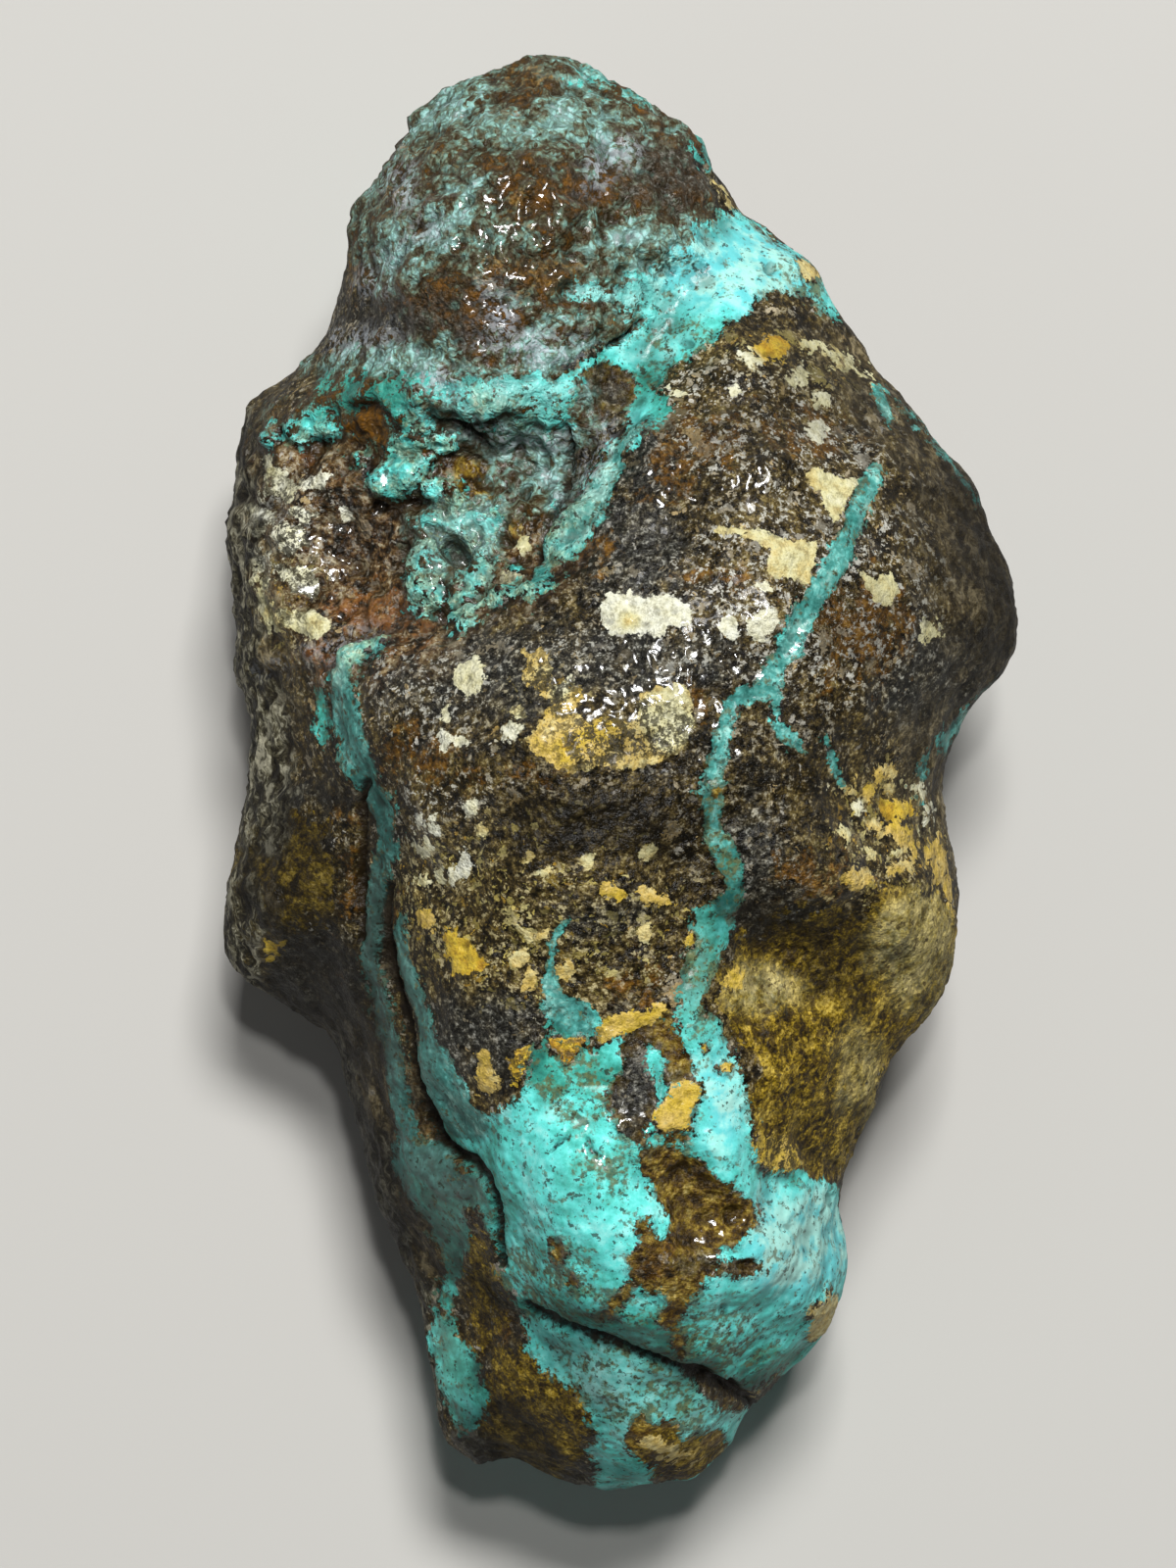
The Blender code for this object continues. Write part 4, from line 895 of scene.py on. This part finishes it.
# Layers of the finish. A layer's value is its start, or what the code gives, plus each noise (about 0) or
# mark times its weight. It comes in between the two values of its edge, and covers up to its share
layers = {
    "pebble gap": layer(edge=(0.36, 0.56), fineB=0.4),
    "pores": layer(0.5, (0.58, 0.64), fineC=1.0, chipHue=0.7, spotted=0.11),
    "dark": layer(edge=(-0.8, 0.9), mottleB=4.0),
    "body": layer(0.465, coarse=0.028, mottleC=0.7, fineB=1.1, grit=0.4, darkness=-0.06),
    "charcoal": layer(0.5, fineB=1.0, grit=0.4),
    "vug rock": layer(0.5, mottleB=1.1, fine=0.9, pebble=0.12),
    "rust": layer(mottle=6.0, fine=3.4),
    "rusty": layer(edge=(0.0, 0.9)),
    "rusty crust": layer(edge=(0.1, 0.9), share=0.75),
    "rust tone": layer(0.5, fineC=1.0),
    "crust rust tone": layer(0.53, fineC=1.0),
    "grain": layer(edge=(0.0, 0.09), grit=0.8),
    "grain chosen": layer(edge=(0.0, 0.01)),
    "grain dirt": layer(0.5, (0.48, 0.64), 0.5, fineB=1.0),
    "window": layer(edge=(-0.1, 0.15)),
    "window tone": layer(0.5, mottleB=0.85, fineC=0.95),
    "fleck": layer(0.5, (0.575, 0.615), fineB=0.75, grit=0.25, chipHue=0.4, coarse=0.012, wet=0.014),
    "fleck cover": layer(0.25, coarse=0.55, golden=-0.15),
    "streaks": layer(0.5, streak=1.3),
    "limonite": layer(edge=(0.0, 0.4), mottle=3.4, fine=1.6),
    "ochre": layer(0.515, mottleB=0.95, fineC=1.1, grit=0.5, broad=0.3, pebble=0.22, darkness=-0.14,
                   tan=0.09),
    "bulge": layer(0.5, mottleB=1.0, fineB=0.9),
    "fragment": layer(edge=(-0.02, 0.05), share=0.95, fine=0.8, chip=0.6, chipOnSteep=2.2),
    "fragment tone": layer(mottleC=0.6, fineB=0.4),
    "fragment dirt": layer(0.7, (0.70, 0.84), 0.35, fineB=1.0, grit=0.4),
    "fragment pores": layer(0.25, spotted=0.6),
    "fragment spots": layer(0.6, (0.63, 0.67), 0.8, fineB=0.7, mottleB=0.5, grit=0.5, spotted=0.03),
    "film": layer(edge=(0.25, 0.6), share=0.85, mottleB=1.2),
    "film tone": layer(0.5, streak=1.625),
    "crust": layer(edge=(0.35, 0.65), share=0.92, mottleC=1.4),
    "crust tone": layer(0.525, mottle=0.95, fine=0.4, broad=0.25, pebble=0.2, green=0.09, bare=-0.11,
                        pale=0.10),
    "ragged": layer(1.0, crust=1.2, vug=0.7),
    "near a vein": layer(edge=(-0.5, 0.1), share=0.4),
    "rim": layer(mottle=1.5, fine=1.5),
    "turquoise tone": layer(0.575, mottleC=0.65, broad=0.25, fineB=0.32, pale=0.08, deep=-0.20),
    "vein": layer(edge=(-0.1, 0.1)),
    "vein tone": layer(mottle=0.7, fineB=0.35, pale=0.12),
    "sky": layer(0.5, (0.46, 0.64), mottleC=1.0, pale=0.1),
    "chalk": layer(0.5, (0.42, 0.58), 0.8, mottleB=1.0, pale=0.06, deep=-0.2),
    "chalk tone": layer(0.5, fineC=1.0, mottle=0.6),
    "clay": layer(0.5, (0.55, 0.61), 0.4, fineB=1.0, mottleC=0.5),
    "olive": layer(0.5, (0.42, 0.60), 0.65, mottleB=1.0, fine=0.6),
    "stain": layer(0.5, mottleB=0.4, fine=0.6, stain=0.06),
    "stained": layer(edge=(0.50, 0.57), share=0.7),
    "speckles": layer(0.5, (0.62, 0.67), 0.8, fineC=1.0, chipHue=0.7, stain=0.03),
    "teal rim": layer(edge=(0.0, 0.14)),
    "shadow rim": layer(edge=(-0.6, -0.05), share=0.5),
    "frost": layer(0.5, (0.46, 0.56), 0.75, fineC=1.0, pebble=0.2),
    "crack": layer(edge=(-0.1, 0.06), share=0.85, fine=0.8),
    "cavity": layer(edge=(0.004, 0.07), share=0.45),
    "hollow": layer(edge=(0.03, 0.5), share=0.4),
    "roughness": layer(0.34, fineB=0.5, steep=0.4, limoniteShare=0.15, turquoiseShare=-0.08),
    "swell height": layer(0.8, vug=0.5),
    "tooth height": layer(0.9, wet=0.7, vug=-0.7),
}

# How much of what the code gives counts
shares = {
    "charcoal": 0.5, "vug rock": 0.75, "rust": 0.8, "red rust": 0.5, "grain strength": 0.6,
    "grain in the dark": 0.4, "fleck in a window": 0.8, "fleck in the dark": 0.3, "golden fleck": 0.7,
    "streaks": 0.6, "rust in a window": 0.6, "window": 0.85, "bulge": 0.55, "ochre gaps": 0.35,
    "ochre pores": 0.8, "crust gaps": 0.5, "dark crust": 0.75, "turquoise in crust": 0.1, "sky": 0.75,
    "turquoise gaps": 0.45, "dust": 0.36, "stain off the rim": 0.10, "teal rim": 0.6, "dim": 0.36,
    "shade": 0.72, "calm tooth": 1.2, "pebble height": 0.5,
}
finish = {
    "swirl": 1.3,                     # mm that the patterns are bent
    "jag": 0.5,                       # mm that grains are jagged
    "pebbles": 3.2,                   # per mm
    "streakTurn": 0.22, "streakScale": (1.0, 0.25, 0.5),
    # three sizes of grain: cells per mm, the share that holds one, and how much more where it is coarse
    "grains": ((0.95, 0.02, 0.09), (2.1, 0.06, 0.16), (4.0, 0.07, 0.15)),
    "grainReach": 0.5, "grainLeast": 0.35,
    "rustLimit": 0.7, "rimLimit": 0.4, "crustBark": 0.45,
    "turquoiseEdge": (-0.03, 0.05),
    "arcWidth": 0.06, "arcEdge": (0.0, 0.04),         # curls of light where the stone is wet
    "leastRoughness": 0.12, "specular": 0.16,
    "coat": 0.06, "coatWet": 0.24, "coatArcs": 0.7, "coatRoughness": 0.11, "coatIor": 1.5,
    "bump": 0.00015,                                  # metres
}


def stoneMaterial():
    bench = Bench("turquoise in matrix")
    step, blend, ramp = bench.step, bench.blend, bench.ramp
    coords = bench.node("ShaderNodeTexCoord", output="Object")
    place = bench.node("ShaderNodeVectorMath", {"operation": "SCALE"}, {0: coords, 3: mm})
    made = {}

    def mark(name):
        if name not in made:
            made[name] = bench.mark(name)
        return made[name]

    # what stirs the layers: noises about 0, and later some shares
    mottles = bench.parts(bench.clouds(place, "mottle", "Color"))
    fineColour = bench.clouds(place, "fine", "Color")
    fines = bench.parts(fineColour)
    chips = bench.parts(bench.clouds(place, "chip", "Color"))
    warped = bench.warp(bench.clouds(place, "swirl", "Color"), finish["swirl"], place)
    jagged = bench.warp(fineColour, finish["jag"], warped)
    streakPlace = bench.node("ShaderNodeMapping", None, {
        "Vector": warped, "Rotation": (0.0, 0.0, finish["streakTurn"]), "Scale": finish["streakScale"]})
    pebble = bench.cells(warped, finish["pebbles"])
    pebbleEdge = bench.sockets(pebble)[0]
    stirs = {name: wire - 0.5 for name, wire in (
        ("mottle", mottles[0]), ("mottleB", mottles[1]), ("mottleC", mottles[2]),
        ("fine", fines[0]), ("fineB", fines[1]), ("fineC", fines[2]), ("grit", bench.clouds(place, "grit")),
        ("chip", chips[0]), ("chipHue", chips[1]), ("streak", bench.clouds(streakPlace, "streaks")),
        ("broad", mark("broad")), ("pebble", bench.parts(pebble)[0]))}

    def value(name, first=None):
        total = layers[name]["start"] if first is None else first
        for source, weight in layers[name]["by"].items():
            total = total + (stirs[source] if source in stirs else mark(source)) * weight
        return total

    def inside(name, first=None):
        return step(value(name, first), *layers[name]["edge"])

    def cover(name, first=None):
        return inside(name, first) * layers[name]["share"]

    def part(name, wire):
        return wire * shares[name]

    def tone(name, source, first=None):
        return ramp(value(source, first), name)

    pebbleGap = inside("pebble gap", pebbleEdge)
    pores = inside("pores")
    vug, crust, coarse, golden = mark("vug"), mark("crust"), mark("coarse"), mark("golden")

    # the rock: a dark fine body
    dark = inside("dark", mark("dark"))
    stirs["darkness"] = dark
    charcoal = tone("charcoal", "charcoal")
    rock = tone("rock", "body")
    rock = blend(part("charcoal", dark), rock, charcoal)
    rock = blend(part("vug rock", vug), rock, tone("vug", "vug rock"))
    rust = value("rust", mark("rust").least(finish["rustLimit"]))
    rustShare = inside("rusty", rust)
    rustColour = blend(part("red rust", vug), tone("rust", "rust tone"), paints["redRust"])
    rock = blend(part("rust", rustShare), rock, rustColour)

    # broken grains of three sizes, and flecks
    for scale, share, more in finish["grains"]:
        cell = bench.cells(jagged, scale)
        distance = bench.sockets(cell)[0]
        pick, hue, strength = bench.parts(cell)
        there = inside("grain", finish["grainReach"] - distance)
        there = there * inside("grain chosen", coarse * more + share - pick)
        grain = blend(golden, ramp(hue, "grain"), ramp(hue, "golden grain"))
        grain = blend(cover("grain dirt"), grain, paints["umber"])
        there = there * (finish["grainLeast"] + part("grain strength", strength))
        rock = blend(there * (1.0 - part("grain in the dark", dark)), rock, grain)
    windowed = inside("window", mark("window"))
    fleck = inside("fleck") * value("fleck cover") * (1.0 - part("fleck in a window", windowed))
    fleckTone = blend(part("golden fleck", golden), paints["paleGrit"], paints["goldGrit"])
    rock = blend(fleck * (1.0 - part("fleck in the dark", dark)), rock, fleckTone)
    rock = blend(part("streaks", mark("streaks")), rock, tone("streaks", "streaks"))
    windowShare = windowed * (1.0 - dark) * (1.0 - part("rust in a window", rustShare))
    rock = blend(part("window", windowShare), rock, tone("window", "window tone"))

    # yellow limonite
    limoniteShare = inside("limonite", mark("limonite"))
    ochre = blend(part("bulge", mark("tan")), tone("limonite", "ochre"), tone("bulge", "bulge"))
    ochre = blend(part("ochre gaps", pebbleGap), ochre, paints["bark"])
    ochre = blend(part("ochre pores", pores), ochre, paints["bark"])
    rock = blend(limoniteShare, rock, ochre)

    # fragments
    steep = 1.0 - mark("upward")
    stirs["chipOnSteep"] = stirs["chip"] * steep
    fragment = tone("fragment", "fragment tone", mark("clastTone"))
    fragment = blend(cover("fragment dirt"), fragment, paints["umber"])
    fragment = blend(pores * value("fragment pores"), fragment, paints["pupil"])
    fragment = blend(mark("spotted") * cover("fragment spots"), fragment, paints["pupil"])
    rock = blend(cover("fragment", mark("clast")), rock, fragment)

    # the grey film on the flanks: dark and pale streaks, its grey partly painted sheen of grazing light
    rock = blend(cover("film", mark("film")), rock, tone("film", "film tone"))

    # the crust of the head and the vug
    crusted = blend(part("crust gaps", pebbleGap), tone("crust", "crust tone"), paints["bark"])
    crusted = blend(cover("rusty crust", rust), crusted, tone("rust", "crust rust tone"))
    sooty = blend(finish["crustBark"], charcoal, paints["bark"])
    crusted = blend(part("dark crust", dark), crusted, sooty)
    rock = blend(cover("crust", crust), rock, crusted)

    # turquoise
    ragged = value("ragged") - cover("near a vein", mark("vein"))
    rim = mark("turquoise") + value("rim") * ragged
    low, high = finish["turquoiseEdge"]
    turquoiseShare = step(rim, low, high + part("turquoise in crust", crust))
    blueValue = value("turquoise tone")
    veined = inside("vein", mark("vein"))
    blue = blend(veined, ramp(blueValue, "turquoise"), tone("vein", "vein tone", blueValue))
    blue = blend(part("sky", mark("sky")), blue, blend(inside("sky"), paints["sky"], paints["paleSky"]))
    blue = blend(vug * cover("chalk"), blue, tone("chalk", "chalk tone"))
    blue = blend(vug * cover("clay"), blue, paints["clay"])
    # deep teal between the beads of veins and vug crust: partly dark outlines, partly painted shade between
    # the beads
    blue = blend(part("turquoise gaps", veined.most(vug) * pebbleGap), blue, paints["deepTeal"])
    blue = blend(part("dust", mark("dusty")), blue, paints["dust"])
    blue = blend(mark("stain") * cover("olive"), blue, paints["olive"])
    stain = value("stain") - part("stain off the rim", rim.least(finish["rimLimit"]))
    blue = blend(cover("stained", stain), blue, tone("stain", "rust tone"))
    blue = blend(cover("speckles"), blue, paints["pupil"])
    # darker teal along the turquoise's edges: partly its own dark edge, partly painted shade on the sides of
    # raised veins
    blue = blend(part("teal rim", 1.0 - inside("teal rim", rim)), blue, paints["deepTeal"])
    rock = blend(vug * cover("shadow rim", rim), rock, paints["shadeBlack"])
    colour = blend(turquoiseShare, rock, blue)
    # painted sheen: pale specks standing in for the reflection of the light on wet crust
    colour = blend(mark("frost") * cover("frost"), colour, paints["frost"])

    # painted shade: dim (partly darker rock) and shade darken faces turned from the key light and the ground
    # under bulges, cracks get a black that is partly painted shade, and cavity and hollow darken the mesh's
    # hollows
    colour = blend(part("dim", mark("dim")), colour, paints["shadeBlack"])
    colour = blend(part("shade", mark("shade")), colour, paints["shadeBlack"])
    colour = blend(cover("crack", mark("crack")), colour, paints["shadeBlack"])
    colour = blend(cover("cavity", 0.0 - mark("cavity")), colour, paints["shadeBlack"])
    colour = blend(cover("hollow", 0.0 - mark("hollow")), colour, paints["bark"])

    stirs.update(steep=steep, limoniteShare=limoniteShare, turquoiseShare=turquoiseShare)
    arc = bench.clouds(warped, "arcs") - 0.5
    thread = step(finish["arcWidth"] - arc.most(0.0 - arc), *finish["arcEdge"])
    height = bench.clouds(place, "swell") * value("swell height")
    tooth = bench.clouds(place, "tooth") * value("tooth height")
    height = height + tooth * (1.0 - part("calm tooth", mark("calm")))
    height = height + part("pebble height", (crust + vug).least(1.0) * (0.5 - pebbleEdge))
    bump = bench.node("ShaderNodeBump", None,
                      {"Strength": 1.0, "Distance": finish["bump"], "Height": height})
    shader = bench.node("ShaderNodeBsdfPrincipled", None, {
        "Base Color": colour, "Roughness": value("roughness").most(finish["leastRoughness"]), "Normal": bump,
        "Specular IOR Level": finish["specular"],
        "Coat Weight": finish["coat"] + mark("wet") * (finish["coatWet"] + finish["coatArcs"] * thread),
        "Coat Roughness": finish["coatRoughness"], "Coat IOR": finish["coatIor"]})
    bench.node("ShaderNodeOutputMaterial", None, {"Surface": shader})
    return bench.material


studio = {
    "floor": paint(172, 170, 165), "floorSize": 1.5, "floorRoughness": 0.7,
    "world": (0.9, 0.95, 1.0, 1.0), "worldLevel": 0.08,
    "lens": 150.0, "film": 36.0,
    "aim": (0.0, 0.0, 0.012),
    # lights: watts, place and size
    "key": (15.8, (0.10, 0.50, 0.95), (0.30, 0.20)),
    "front": (0.8, (0.02, 0.13, 0.54), (0.03, 0.03)),
    "fill": (0.34, (-0.45, -0.35, 0.40), (0.5, 0.5)),
}


def addFloor():
    bm = bmesh.new()
    bmesh.ops.create_grid(bm, x_segments=1, y_segments=1, size=studio["floorSize"])
    mesh = bpy.data.meshes.new("floor")
    bm.to_mesh(mesh)
    bm.free()
    bench = Bench("floor")
    shader = bench.node("ShaderNodeBsdfPrincipled", None, {
        "Base Color": studio["floor"], "Roughness": studio["floorRoughness"]})
    bench.node("ShaderNodeOutputMaterial", None, {"Surface": shader})
    mesh.materials.append(bench.material)
    floor = bpy.data.objects.new("floor", mesh)
    bpy.context.scene.collection.objects.link(floor)


def addLight(name):
    power, place, size = studio[name]
    lamp = bpy.data.lights.new(name, "AREA")
    lamp.shape = "RECTANGLE"
    lamp.size, lamp.size_y = size
    lamp.energy = power
    light = bpy.data.objects.new(name, lamp)
    light.location = place
    light.rotation_euler = (Vector(studio["aim"]) - Vector(place)).to_track_quat("-Z", "Y").to_euler()
    bpy.context.scene.collection.objects.link(light)


def setStage():
    addFloor()
    for name in ("key", "front", "fill"):
        addLight(name)
    world = bpy.data.worlds.new("studio")
    world.use_nodes = True
    backdrop = world.node_tree.nodes["Background"].inputs
    backdrop["Color"].default_value = studio["world"]
    backdrop["Strength"].default_value = studio["worldLevel"]
    bpy.context.scene.world = world
    bpy.context.scene.view_settings.view_transform = "Standard"
    lens = bpy.data.cameras.new("camera")
    lens.lens = studio["lens"]
    lens.sensor_width = studio["film"]
    camera = bpy.data.objects.new("camera", lens)
    (right, down), (middleRight, middleDown) = sheet["eye"], sheet["middle"]
    camera.location = ((right - middleRight) * sheet["unit"], (middleDown - down) * sheet["unit"],
                       sheet["eyeRise"] + sheet["girdle"])
    bpy.context.scene.collection.objects.link(camera)
    bpy.context.scene.camera = camera
    print("stage: floor, lights and camera")


nugget = makeStone()
nugget.data.materials.append(stoneMaterial())
print("stone: material done")
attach(nugget, "root")
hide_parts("nugget")
setStage()
